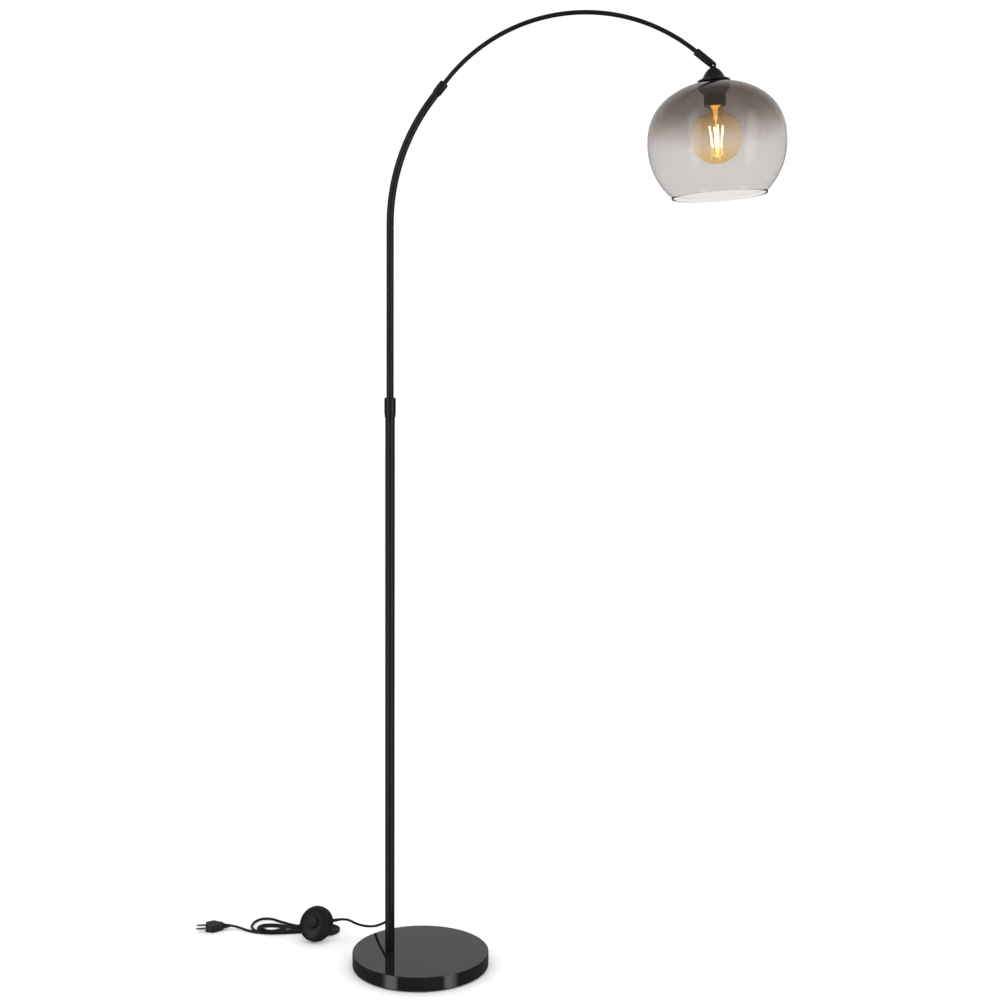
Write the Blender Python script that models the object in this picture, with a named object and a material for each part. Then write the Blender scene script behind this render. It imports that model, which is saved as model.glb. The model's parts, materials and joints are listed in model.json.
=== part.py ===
"""Arc floor lamp: marble base, telescoping mast, swivelling arch tube, tilting globe shade, foot switch and plug.

Metres, +Z up. The origin is the centre of the base pad's underside, and the arch reaches out along +X.
Tubes, rings and holders are turned about their own axes, which are those of the empties that carry them.
"""

import math

import bmesh
import bpy
from mathutils import Matrix, Vector
from mathutils.geometry import interpolate_bezier

# Clearance that is kept wherever two pieces touch
GAP = 0.0003

# Base
PAD_D = 0.250
PAD_THICK = 0.002
BASE_D = 0.260
BASE_THICK = 0.026
BASE_EDGE = 0.0012
POLE_OFFSET = 0.059
STUD_D = 0.010
STUD_RISE = 0.032
FOOT_PLUG_LENGTH = 0.026
WASHER_D = 0.028
WASHER_THICK = 0.002
NUT_ACROSS = 0.017
NUT_THICK = 0.007
COUNTERBORE_D = 0.032
COUNTERBORE_DEPTH = 0.012

# Mast tubes and their twist collars
LOWER_TUBE_D = 0.018
LOWER_TUBE_WALL = 0.001
LOWER_TUBE_LENGTH = 1.036
MIDDLE_TUBE_D = 0.0135
MIDDLE_TUBE_WALL = 0.001
ARCH_TUBE_D = 0.0083
ARCH_TUBE_WALL = 0.0008
MAST_LAP = 0.250
MAST_TRAVEL = 0.300
BEND_START = 1.4012
BEND_RADIUS = 0.3732
BEND_TURN = math.radians(38.28)
BEND_TAIL = 0.0200
ARCH_LAP = 0.026
ARCH_RISE = 0.0160
ARCH_RADIUS = 0.3244
ARCH_TURN = math.radians(89.45)
COLLAR_WALL = 0.0017
COLLAR_SHOULDER = 0.003
HEIGHT_COLLAR_LENGTH = 0.037
HEIGHT_COLLAR_LAP = 0.018
HEIGHT_COLLAR_TAPER = 0.0125
ARCH_COLLAR_LENGTH = 0.026
ARCH_COLLAR_LAP = 0.015
ARCH_COLLAR_TAPER = 0.007
COLLET_WALL = 0.0012
COLLET_SLOT = 0.0012
BUSH_LENGTH = 0.030
ARCH_BUSH_LENGTH = 0.012

# End sleeve, hollow pivot and swivel link
SLEEVE_D = 0.014
SLEEVE_LENGTH = 0.0365
SLEEVE_LAP = 0.024
SLEEVE_EDGE = 0.0025
SLOT_FROM = 0.0345
PIVOT_REACH = 0.0407
EYE_R = 0.0053
FORK_THICK = 0.0116
TONGUE_THICK = 0.0046
EYELET_D = 0.0060
EYELET_BORE = 0.0046
EYELET_FLANGE_D = 0.0080
EYELET_FLANGE_THICK = 0.0006
SET_SCREW_D = 0.003
LINK_PLATE_D = 0.015
LINK_PLATE_THICK = 0.0012
STEM_D = 0.0096
STEM_BORE = 0.0058
STEM_LENGTH = 0.0130

# Head: every depth is measured down the head's axis from the pivot
HEAD_TILT = math.radians(4.0)
CAP_TOP_R = 0.0090
CAP_FLANGE_D = 0.0600
CAP_DEPTH = 0.0295
CAP_WALL = 0.0010
SHADE_D = 0.2530
SHADE_BELLY = 0.1400
SHADE_RISE = 0.1110
SHADE_FULLNESS = 2.4
SHADE_HOLE_D = 0.0420
SHADE_NECK_R = 0.0920
SHADE_LIP_D = 0.1752
SHADE_LIP = 0.0090
SHADE_WALL = 0.0018
HOLDER_D = 0.0395
HOLDER_WALL = 0.0018
HOLDER_MOUTH = 0.0728
HOLDER_MOUTH_D = 0.0300
HOLDER_FLANGE_D = 0.0470
HOLDER_RISE = 0.0085
RING_D = 0.0570
RING_BAND = 0.0090
RING_CONE = 0.0090
INSERT_TOP = 0.0360
INSERT_D = 0.0330
INSERT_THICK = 0.0090
SCREW_SHELL_D = 0.0286
SCREW_SHELL_WALL = 0.0003
SCREW_SHELL_LENGTH = 0.0220

# Bulb
BULB_D = 0.0950
BULB_CENTRE = 0.1305
BULB_WALL = 0.0008
BULB_CAP_D = 0.0264
BULB_CAP_TOP = 0.0500
BULB_CAP_LENGTH = 0.0235
BULB_TIP = 0.0465
FILAMENT_COUNT = 4
FILAMENT_LENGTH = 0.0390
FILAMENT_D = 0.0024
FILAMENT_TOP = 0.1090
FILAMENT_SPREAD = 0.0125
FILAMENT_CLOSE = 0.0080

# Mains lead and what is on it
CORD_D = 0.0048
INNER_LEAD_D = 0.0042
GLAND_HEIGHT = 0.0775
GLAND_LENGTH = 0.0145
GLAND_NECK_D = 0.0074
GLAND_FLANGE_D = 0.0106
RELIEF_D = 0.0070
RELIEF_TIP_D = 0.0054
RELIEF_LENGTH = 0.0200
SWITCH_AT = Vector((-0.2137, 0.1263, 0.0306))
SWITCH_D = 0.0700
SWITCH_RIM = 0.0095
SWITCH_DOME = 0.0200
SWITCH_HEADING = math.radians(21)
SWITCH_LEAN = math.radians(30)
SWITCH_ROLL = math.radians(16)
SWITCH_WALL = 0.0020
SWITCH_BASE_THICK = 0.0030
BUTTON_D = 0.0230
BUTTON_PROUD = 0.0055
BUTTON_TRAVEL = 0.0030
POCKET_R = 0.0075
POCKET_DEPTH = 0.0045
LEAD_HEIGHT = 0.0080
HANK_HEIGHT = 0.0120
TIE_AT = (-0.240, 0.170)
TIE_SPAN = 0.046
TIE_WIDTH = 0.005
TIE_THICK = 0.0012
PLUG_AT = Vector((-0.4450, 0.1685, 0.0076))
PLUG_HEADING = math.radians(8)
PLUG_LENGTH = 0.0350
PLUG_WIDTH = 0.0350
PLUG_NECK_WIDTH = 0.0120
PLUG_THICK = 0.0140
PLUG_BOOT_LENGTH = 0.0155
PIN_LENGTH = 0.0190
PIN_PITCH = 0.0186
PLUG_PIN_D = 0.0040

# Routes of the lead between its fixed ends, and the outline of its spare turns on the floor, chosen by hand
LEAD_ROUTE = (
    (-0.0620, 0.0360, 0.0745),
    (-0.0690, 0.0500, 0.0660),
    (-0.0865, 0.0800, 0.0474),
    (-0.0995, 0.1125, 0.0325),
    (-0.1128, 0.1265, 0.0268),
    (-0.1260, 0.1275, 0.0286),
    (-0.1390, 0.1175, 0.0375),
    (-0.1510, 0.1090, 0.0465),
)
HANK_ENTRY_ROUTE = (
    (-0.2860, 0.1360, 0.0165),
    (-0.3030, 0.1415, 0.0105),
    (-0.3125, 0.1452, 0.0075),
)
TAIL_ROUTE = (
    (-0.3790, 0.1735, 0.0046),
    (-0.3640, 0.1660, 0.0028),
    (-0.3540, 0.1600, 0.0027),
    (-0.3445, 0.1555, 0.0027),
)
HANK_OUTLINE = (
    (-0.172, 0.165),
    (-0.180, 0.195),
    (-0.200, 0.212),
    (-0.238, 0.190),
    (-0.285, 0.205),
    (-0.320, 0.230),
    (-0.342, 0.232),
    (-0.357, 0.208),
    (-0.351, 0.174),
    (-0.325, 0.150),
    (-0.285, 0.148),
    (-0.242, 0.150),
    (-0.200, 0.132),
    (-0.180, 0.140),
)

BLACK = (0.018, 0.018, 0.019)
STEEL = (0.56, 0.56, 0.57)
BRASS = (0.72, 0.53, 0.25)


def clear_scene():
    for thing in list(bpy.data.objects):
        bpy.data.objects.remove(thing, do_unlink=True)


def finish(name, colour, roughness, metallic=0.0, alpha=1.0, glow=0.0):
    """A material, made the first time that it is asked for."""
    found = bpy.data.materials.get(name)
    if found:
        return found
    made = bpy.data.materials.new(name)
    made.use_nodes = True
    shader = made.node_tree.nodes["Principled BSDF"]
    shader.inputs["Base Color"].default_value = (*colour, 1.0)
    shader.inputs["Roughness"].default_value = roughness
    shader.inputs["Metallic"].default_value = metallic
    shader.inputs["Alpha"].default_value = alpha
    shader.inputs["Emission Color"].default_value = (*colour, 1.0)
    shader.inputs["Emission Strength"].default_value = glow
    made.diffuse_color = (*colour, alpha)
    return made


def black_paint():
    return finish("black_paint", BLACK, 0.42)


def black_plastic():
    return finish("black_plastic", (0.02, 0.02, 0.021), 0.48)


def black_rubber():
    return finish("black_rubber", (0.022, 0.022, 0.023), 0.6)


def bare_steel():
    return finish("bare_steel", STEEL, 0.32, 1.0)


def brass():
    return finish("brass", BRASS, 0.3, 1.0)


def carrier(name, frame, parent=None):
    """An empty that carries the pieces of one moving body or one turned group."""
    empty = bpy.data.objects.new(name, None)
    bpy.context.collection.objects.link(empty)
    empty.empty_display_size = 0.02
    empty.parent = parent
    empty.matrix_local = frame
    return empty


def add_piece(name, bm, material, parent, frame=Matrix()):
    bmesh.ops.remove_doubles(bm, verts=bm.verts, dist=1e-6)
    bmesh.ops.recalc_face_normals(bm, faces=bm.faces)
    mesh = bpy.data.meshes.new(name)
    bm.to_mesh(mesh)
    bm.free()
    mesh.materials.append(material)
    mesh.shade_smooth()
    mesh.set_sharp_from_angle(angle=math.radians(40))
    piece = bpy.data.objects.new(name, mesh)
    bpy.context.collection.objects.link(piece)
    piece.parent = parent
    piece.matrix_local = frame
    return piece


def as_cutter(piece):
    piece.hide_render = True
    piece.display_type = "WIRE"
    return piece


def combine(piece, other, operation):
    modifier = piece.modifiers.new(f"{operation.lower()}_{other.name}", "BOOLEAN")
    modifier.operation = operation
    modifier.object = as_cutter(other)
    modifier.solver = "EXACT"


def turned(name, outline, sides, material, parent, frame=Matrix()):
    """A turned piece. The (radius, height) outline goes round its section; ends at radius 0 lie on the axis."""
    bm = bmesh.new()
    corners = [bm.verts.new((radius, 0.0, height)) for radius, height in outline]
    edges = [bm.edges.new(pair) for pair in zip(corners, corners[1:])]
    if outline[0][0] > 0:
        edges.append(bm.edges.new((corners[-1], corners[0])))
    bmesh.ops.spin(
        bm,
        geom=corners + edges,
        cent=(0, 0, 0),
        axis=(0, 0, 1),
        angle=2 * math.pi,
        steps=sides,
        use_duplicate=False,
    )
    return add_piece(name, bm, material, parent, frame)


def ring_outline(outer, inner, low, high):
    return [(outer, high), (outer, low), (inner, low), (inner, high)]


def rod_outline(radius, low, high):
    return [(0.0, high), (radius, high), (radius, low), (0.0, low)]


def prism(name, outline, low, high, material, parent, frame=Matrix()):
    """A flat outline in X and Y, extruded from low to high."""
    bm = bmesh.new()
    corners = [bm.verts.new((x, y, low)) for x, y in outline]
    face = bm.faces.new(corners)
    grown = bmesh.ops.extrude_face_region(bm, geom=[face])
    moved = [item for item in grown["geom"] if isinstance(item, bmesh.types.BMVert)]
    bmesh.ops.translate(bm, verts=moved, vec=(0, 0, high - low))
    return add_piece(name, bm, material, parent, frame)


def arc(centre, radius, start, end, steps):
    """Points on a circle from one angle to another, both ends kept."""
    angles = [start + (end - start) * i / steps for i in range(steps + 1)]
    return [(centre[0] + radius * math.cos(a), centre[1] + radius * math.sin(a)) for a in angles]


def bent_path(straight, radius, turn, tail, steps):
    """Stations (x, z, tilt) of a tube that runs up Z, bends towards +X and may then run on straight."""
    stations = [(0.0, 0.0, 0.0)]
    for i in range(steps + 1):
        tilt = turn * i / steps
        stations.append((radius * (1 - math.cos(tilt)), straight + radius * math.sin(tilt), tilt))
    if tail:
        x, z, tilt = stations[-1]
        stations.append((x + tail * math.sin(tilt), z + tail * math.cos(tilt), tilt))
    return stations


def bent_tube(name, stations, outer, inner, sides, material, parent):
    bm = bmesh.new()

    def ring(x, z, tilt, radius):
        across = Vector((math.cos(tilt), 0.0, -math.sin(tilt)))
        corners = []
        for i in range(sides):
            angle = 2 * math.pi * i / sides
            spoke = across * math.cos(angle) + Vector((0, 1, 0)) * math.sin(angle)
            corners.append(bm.verts.new(Vector((x, 0.0, z)) + spoke * radius))
        return corners

    def skin(first, second):
        for i in range(sides):
            j = (i + 1) % sides
            bm.faces.new((first[i], first[j], second[j], second[i]))

    outside = [ring(*station, outer) for station in stations]
    inside = [ring(*station, inner) for station in stations]
    for wall in (outside, inside):
        for first, second in zip(wall, wall[1:]):
            skin(first, second)
    for end in (0, -1):
        skin(outside[end], inside[end])
    return add_piece(name, bm, material, parent)


def smooth_points(route, spacing, first_way, last_way):
    """Points about one spacing apart on a smooth curve through the route, which may set out and end along a way."""
    knots = [Vector(point) for point in route]
    slopes = [knots[1] - knots[0]]
    slopes += [(after - before) / 2 for before, after in zip(knots, knots[2:])]
    slopes.append(knots[-1] - knots[-2])
    if first_way:
        slopes[0] = first_way * slopes[0].length
    if last_way:
        slopes[-1] = last_way * slopes[-1].length
    fine = [knots[0]]
    for i in range(len(knots) - 1):
        span = (knots[i], knots[i] + slopes[i] / 3, knots[i + 1] - slopes[i + 1] / 3, knots[i + 1])
        fine += interpolate_bezier(*span, 24)[1:]
    lengths = [0.0]
    for before, after in zip(fine, fine[1:]):
        lengths.append(lengths[-1] + (after - before).length)
    count = max(2, round(lengths[-1] / spacing))
    points = []
    at = 0
    for i in range(count + 1):
        target = lengths[-1] * i / count
        while at < len(fine) - 2 and lengths[at + 1] < target:
            at += 1
        share = (target - lengths[at]) / max(lengths[at + 1] - lengths[at], 1e-9)
        points.append(fine[at].lerp(fine[at + 1], min(share, 1.0)))
    return points


def smooth_outline(corners, steps):
    """A closed curve through the corners, as an outline."""
    knots = [Vector(corner) for corner in corners]
    count = len(knots)
    slopes = [(knots[(i + 1) % count] - knots[i - 1]) / 2 for i in range(count)]
    outline = []
    for i in range(count):
        j = (i + 1) % count
        span = (knots[i], knots[i] + slopes[i] / 3, knots[j] - slopes[j] / 3, knots[j])
        outline += [tuple(point) for point in interpolate_bezier(*span, steps + 1)[:-1]]
    return outline


def wire(name, points, diameter, facets, material, parent):
    """A round wire through the points, as a curve with a bevel and filled caps."""
    curve = bpy.data.curves.new(name, "CURVE")
    curve.dimensions = "3D"
    curve.bevel_depth = diameter / 2
    curve.bevel_resolution = facets
    curve.use_fill_caps = True
    spline = curve.splines.new("POLY")
    spline.points.add(len(points) - 1)
    for knot, point in zip(spline.points, points):
        knot.co = (*point, 1.0)
    curve.materials.append(material)
    piece = bpy.data.objects.new(name, curve)
    bpy.context.collection.objects.link(piece)
    piece.parent = parent
    return piece


def lead(name, route, diameter, parent=None, spacing=2.4, first_way=None, last_way=None):
    """A flex along the route, with a short straight stub at an end that has a way to set out or arrive."""
    points = smooth_points(route, spacing * diameter, first_way, last_way)
    stub = diameter / 2
    if first_way:
        points.insert(1, points[0] + first_way * stub)
    if last_way:
        points.insert(-1, points[-1] - last_way * stub)
    return wire(name, points, diameter, 2, black_rubber(), parent)


def hung(name, outline, sides, material, head):
    """A turned piece of the head, from (radius, depth below the pivot)."""
    return turned(name, [(radius, -depth) for radius, depth in outline], sides, material, head)


def lined(outline, wall):
    """The same open (radius, depth) outline, one wall further in, with its ends kept square."""
    moved = []
    for i, (radius, depth) in enumerate(outline):
        before = outline[max(i - 1, 0)]
        after = outline[min(i + 1, len(outline) - 1)]
        along = Vector((after[0] - before[0], after[1] - before[1])).normalized()
        moved.append((radius - along.y * wall, depth + along.x * wall))
    moved[0] = (outline[0][0], outline[0][1] + wall)
    moved[-1] = (outline[-1][0] - wall, outline[-1][1])
    return moved


# Sizes that follow from the driving sizes
PAD_TOP = PAD_THICK
MARBLE_LOW = PAD_TOP + GAP
MARBLE_TOP = MARBLE_LOW + BASE_THICK
TUBE_FOOT = MARBLE_TOP + GAP
LOWER_TUBE_TOP = TUBE_FOOT + LOWER_TUBE_LENGTH
LOWER_TUBE_BORE = LOWER_TUBE_D / 2 - LOWER_TUBE_WALL
MIDDLE_TUBE_BORE = MIDDLE_TUBE_D / 2 - MIDDLE_TUBE_WALL
ARCH_TUBE_BORE = ARCH_TUBE_D / 2 - ARCH_TUBE_WALL
MAST_FOOT = LOWER_TUBE_TOP - MAST_LAP
LEAD_TOP = MAST_FOOT - MAST_TRAVEL - 0.030
LINK_TOP = EYE_R + GAP
CAP_TOP = LINK_TOP + LINK_PLATE_THICK + GAP
STEM_LOW = CAP_TOP + STEM_LENGTH
SHADE_HOLE_R = SHADE_HOLE_D / 2
SHADE_TOP = SHADE_BELLY - SHADE_RISE * (1 - (SHADE_HOLE_D / SHADE_D) ** 2) ** (1 / SHADE_FULLNESS)
HOLDER_TOP = SHADE_TOP - GAP - HOLDER_RISE
RING_TOP = SHADE_TOP + SHADE_WALL + 0.0015


def base(pole):
    """Felt pad, marble disc and the stud, washer and nut that hold the pole to it."""
    felt = finish("felt", (0.03, 0.03, 0.03), 0.95)
    marble = finish("black_marble", (0.03, 0.028, 0.028), 0.12)
    turned("base_pad", rod_outline(PAD_D / 2, 0.0, PAD_TOP), 48, felt, None)

    edge = BASE_D / 2 - BASE_EDGE
    outline = [(0.0, MARBLE_TOP), (edge, MARBLE_TOP), (BASE_D / 2, MARBLE_TOP - BASE_EDGE)]
    outline += [(BASE_D / 2, MARBLE_LOW + BASE_EDGE), (edge, MARBLE_LOW), (0.0, MARBLE_LOW)]
    disc = turned("marble_base", outline, 64, marble, None)
    bore_r = STUD_D / 2 + GAP
    seat = MARBLE_LOW + COUNTERBORE_DEPTH
    bore = turned("stud_hole_cutter", rod_outline(bore_r, -0.01, 0.06), 20, marble, pole)
    recess = turned("recess_cutter", rod_outline(COUNTERBORE_D / 2, -0.01, seat), 24, marble, pole)
    combine(disc, bore, "DIFFERENCE")
    combine(disc, recess, "DIFFERENCE")

    washer_top = seat - GAP
    washer_low = washer_top - WASHER_THICK
    washer = ring_outline(WASHER_D / 2, bore_r, washer_low, washer_top)
    turned("base_washer", washer, 24, bare_steel(), pole)
    nut_top = washer_low - GAP
    nut_r = NUT_ACROSS / 2 / math.cos(math.pi / 6)
    nut = turned("base_nut", rod_outline(nut_r, nut_top - NUT_THICK, nut_top), 6, bare_steel(), pole)
    tapped = turned("nut_cutter", rod_outline(bore_r, -0.01, 0.06), 20, bare_steel(), pole)
    combine(nut, tapped, "DIFFERENCE")

    stud_low = nut_top - NUT_THICK
    stud = rod_outline(STUD_D / 2, stud_low, MARBLE_TOP + STUD_RISE)
    turned("threaded_stud", stud, 16, bare_steel(), pole)
    plug_r = LOWER_TUBE_BORE - GAP
    plug = ring_outline(plug_r, bore_r, TUBE_FOOT, TUBE_FOOT + FOOT_PLUG_LENGTH)
    turned("tube_foot_plug", plug, 24, bare_steel(), pole)


def gland_frame():
    """The gland's own axis runs out of the back of the lower tube."""
    return Matrix.Translation((0, 0, GLAND_HEIGHT)) @ Matrix.Rotation(-math.pi / 2, 4, "X")


def lower_tube(pole):
    """Fixed lower tube of the mast, the lead's gland in its back and the lead inside."""
    outline = ring_outline(LOWER_TUBE_D / 2, LOWER_TUBE_BORE, TUBE_FOOT, LOWER_TUBE_TOP)
    tube = turned("lower_tube", outline, 24, black_paint(), pole)
    hole = rod_outline(GLAND_NECK_D / 2 + GAP, 0.002, LOWER_TUBE_D)
    cutter = turned("gland_hole_cutter", hole, 16, black_paint(), pole, gland_frame())
    combine(tube, cutter, "DIFFERENCE")

    neck_r = GLAND_NECK_D / 2
    bore_r = CORD_D / 2 + GAP
    inside = LOWER_TUBE_BORE - 0.001
    seat = LOWER_TUBE_D / 2 + GAP
    step = seat + 0.0018
    tip = LOWER_TUBE_D / 2 + GLAND_LENGTH
    outline = [(neck_r, inside), (neck_r, seat), (GLAND_FLANGE_D / 2, seat), (GLAND_FLANGE_D / 2, step)]
    outline += [(neck_r, step), (bore_r + 0.0004, tip), (bore_r, tip), (bore_r, inside)]
    turned("cord_gland", outline, 16, black_rubber(), pole, gland_frame())

    back = -(LOWER_TUBE_BORE - INNER_LEAD_D) / 2
    route = [(0, tip - GAP, GLAND_HEIGHT), (0, tip - 0.008, GLAND_HEIGHT), (0, 0.0090, GLAND_HEIGHT)]
    route += [(0, 0.0035, GLAND_HEIGHT + 0.0014), (0, -0.0005, GLAND_HEIGHT + 0.0055)]
    route += [(0, back, GLAND_HEIGHT + 0.0120), (0, back, GLAND_HEIGHT + 0.0200)]
    lead("inner_lead_elbow", route, INNER_LEAD_D, pole, spacing=0.9)
    riser = rod_outline(INNER_LEAD_D / 2, GLAND_HEIGHT + 0.0200 + GAP, LEAD_TOP)
    turned("inner_lead_lower", riser, 8, black_rubber(), pole, Matrix.Translation((0, back, 0)))


def collar_outline(thick_r, thin_r, joint, length, lap, taper):
    """Section of a twist collar: a rounded shoulder over the thin tube and a taper onto the thick one's end."""
    low = joint - lap
    high = low + length
    outer = thick_r + COLLAR_WALL
    seat_r = thick_r + GAP
    mouth_r = thin_r + GAP
    chamber_r = mouth_r + COLLET_WALL + GAP
    crown = mouth_r + 0.0010
    outline = [(mouth_r, high), (crown, high)]
    for i in range(1, 4):
        angle = math.pi / 2 * i / 3
        sink = COLLAR_SHOULDER * (1 - math.cos(angle))
        outline.append((crown + (outer - crown) * math.sin(angle), high - sink))
    outline += [(outer, low + taper), (seat_r + 0.0006, low), (seat_r, low), (seat_r, joint + GAP)]
    outline += [(chamber_r, joint + GAP), (chamber_r, high - 0.0025), (mouth_r, high - 0.0025)]
    return outline


def collet(name, thin_r, joint, collar_high, parent):
    """A plastic ring with one slot down its side, between the thin tube and the collar."""
    inner = thin_r + GAP
    outer = inner + COLLET_WALL
    low = joint + 2 * GAP
    high = collar_high - 0.0025 - GAP
    ring = turned(name, ring_outline(outer, inner, low, high), 20, black_plastic(), parent)
    half = COLLET_SLOT / 2
    slot = [(0.0, -half), (2 * outer, -half), (2 * outer, half), (0.0, half)]
    cutter = prism(f"{name}_slot_cutter", slot, low - 0.002, high + 0.002, black_plastic(), parent)
    combine(ring, cutter, "DIFFERENCE")


def mast(collar_carrier, slider, mast_carrier):
    """Height collar, collet and guide bush, and the middle tube that slides and turns in them."""
    thick_r = LOWER_TUBE_D / 2
    thin_r = MIDDLE_TUBE_D / 2
    length = HEIGHT_COLLAR_LENGTH
    lap = HEIGHT_COLLAR_LAP
    outline = collar_outline(thick_r, thin_r, LOWER_TUBE_TOP, length, lap, HEIGHT_COLLAR_TAPER)
    turned("height_lock_collar", outline, 24, black_paint(), collar_carrier)
    collet("height_collet", thin_r, LOWER_TUBE_TOP, LOWER_TUBE_TOP - lap + length, collar_carrier)
    bush = ring_outline(LOWER_TUBE_BORE - GAP, thin_r + GAP, MAST_FOOT, MAST_FOOT + BUSH_LENGTH)
    turned("height_guide_bush", bush, 20, black_plastic(), slider)

    straight = BEND_START - MAST_FOOT
    foot = Matrix.Translation((0, 0, MAST_FOOT))
    path = bent_path(straight, BEND_RADIUS, BEND_TURN, BEND_TAIL, 12)
    tube = bent_tube("middle_tube", path, thin_r, MIDDLE_TUBE_BORE, 14, black_paint(), mast_carrier)
    tube.matrix_local = foot
    short_turn = BEND_TURN - (ARCH_LAP - BEND_TAIL + 0.004) / BEND_RADIUS
    path = bent_path(straight, BEND_RADIUS, short_turn, 0.0, 12)
    core = INNER_LEAD_D / 2
    inner = bent_tube("inner_lead_middle", path, core, core / 3, 6, black_rubber(), mast_carrier)
    inner.matrix_local = foot


def arch(arch_collar, arch_carrier):
    """Arch collar, collet and tail bush, and the thin arch tube. Z is the middle tube's end axis."""
    thick_r = MIDDLE_TUBE_D / 2
    thin_r = ARCH_TUBE_D / 2
    length = ARCH_COLLAR_LENGTH
    lap = ARCH_COLLAR_LAP
    outline = collar_outline(thick_r, thin_r, BEND_TAIL, length, lap, ARCH_COLLAR_TAPER)
    turned("arch_lock_collar", outline, 24, black_paint(), arch_collar)
    collet("arch_collet", thin_r, BEND_TAIL, BEND_TAIL - lap + length, arch_collar)
    bush_top = BEND_TAIL - 0.006
    bush = ring_outline(MIDDLE_TUBE_BORE - GAP, thin_r + GAP, bush_top - ARCH_BUSH_LENGTH, bush_top)
    turned("arch_tail_bush", bush, 20, black_plastic(), arch_carrier)

    foot = BEND_TAIL - ARCH_LAP
    path = bent_path(ARCH_LAP + ARCH_RISE, ARCH_RADIUS, ARCH_TURN, SLEEVE_LAP, 20)
    tube = bent_tube("arch_tube", path, thin_r, ARCH_TUBE_BORE, 12, black_paint(), arch_carrier)
    tube.matrix_local = Matrix.Translation((0, 0, foot))
    core = INNER_LEAD_D / 2
    inner = bent_tube("inner_lead_arch", path, core, core / 3, 6, black_rubber(), arch_carrier)
    inner.matrix_local = Matrix.Translation((0, 0, foot))
    x, z, tilt = path[-2]
    return x, z + foot, tilt


def end_sleeve(tip):
    """Sleeve on the arch tube's end, forked round the link's tongue, with the hollow pivot through both."""
    outer = SLEEVE_D / 2
    bore_r = ARCH_TUBE_D / 2 + GAP
    stop = SLEEVE_LAP + GAP
    soft = SLEEVE_EDGE
    outline = [(0.0, stop), (bore_r, stop), (bore_r, 0.0), (outer - soft, 0.0)]
    outline += [(outer - soft * 0.3, soft * 0.3), (outer, soft), (outer, SLEEVE_LENGTH - soft)]
    outline += [(outer - soft * 0.3, SLEEVE_LENGTH - soft * 0.3), (outer - soft, SLEEVE_LENGTH)]
    outline += [(0.0, SLEEVE_LENGTH)]
    sleeve = turned("end_sleeve", outline, 24, black_paint(), tip)

    # Seen from the side: its X runs along the sleeve and its Y up across it
    side = Matrix.Rotation(math.pi / 2, 4, "X") @ Matrix.Rotation(math.pi / 2, 4, "Z")
    fork = [(stop + 0.004, -EYE_R)] + arc((PIVOT_REACH, 0.0), EYE_R, -math.pi / 2, math.pi / 2, 10)
    fork += [(stop + 0.004, EYE_R)]
    half = FORK_THICK / 2
    combine(sleeve, prism("fork", fork, -half, half, black_paint(), tip, side), "UNION")
    slot = [(SLOT_FROM, -0.02), (0.06, -0.02), (0.06, 0.02), (SLOT_FROM, 0.02)]
    half = TONGUE_THICK / 2 + GAP
    combine(sleeve, prism("slot_cutter", slot, -half, half, black_paint(), tip, side), "DIFFERENCE")
    at_pivot = side @ Matrix.Translation((PIVOT_REACH, 0, 0))
    hole = rod_outline(EYELET_D / 2 + GAP, -0.02, 0.02)
    combine(sleeve, turned("fork_hole_cutter", hole, 20, black_paint(), tip, at_pivot), "DIFFERENCE")
    screw_r = SET_SCREW_D / 2
    below = Matrix.Translation((0, 0, SLEEVE_LAP / 2)) @ Matrix.Rotation(math.pi / 2, 4, "Y")
    hole = rod_outline(screw_r + GAP, 0.002, 0.02)
    combine(sleeve, turned("screw_hole_cutter", hole, 12, black_paint(), tip, below), "DIFFERENCE")
    screw = rod_outline(screw_r, ARCH_TUBE_D / 2 + GAP, outer - 0.0005)
    turned("sleeve_set_screw", screw, 12, bare_steel(), tip, below)

    face = FORK_THICK / 2 + GAP
    rim = face + EYELET_FLANGE_THICK
    shank_r = EYELET_D / 2
    flange_r = EYELET_FLANGE_D / 2
    eyelet = [(shank_r, -face), (flange_r, -face), (flange_r, -rim), (EYELET_BORE / 2, -rim)]
    eyelet += [(EYELET_BORE / 2, rim), (flange_r, rim), (flange_r, face), (shank_r, face)]
    turned("pivot_eyelet", eyelet, 20, black_paint(), tip, at_pivot)


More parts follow.
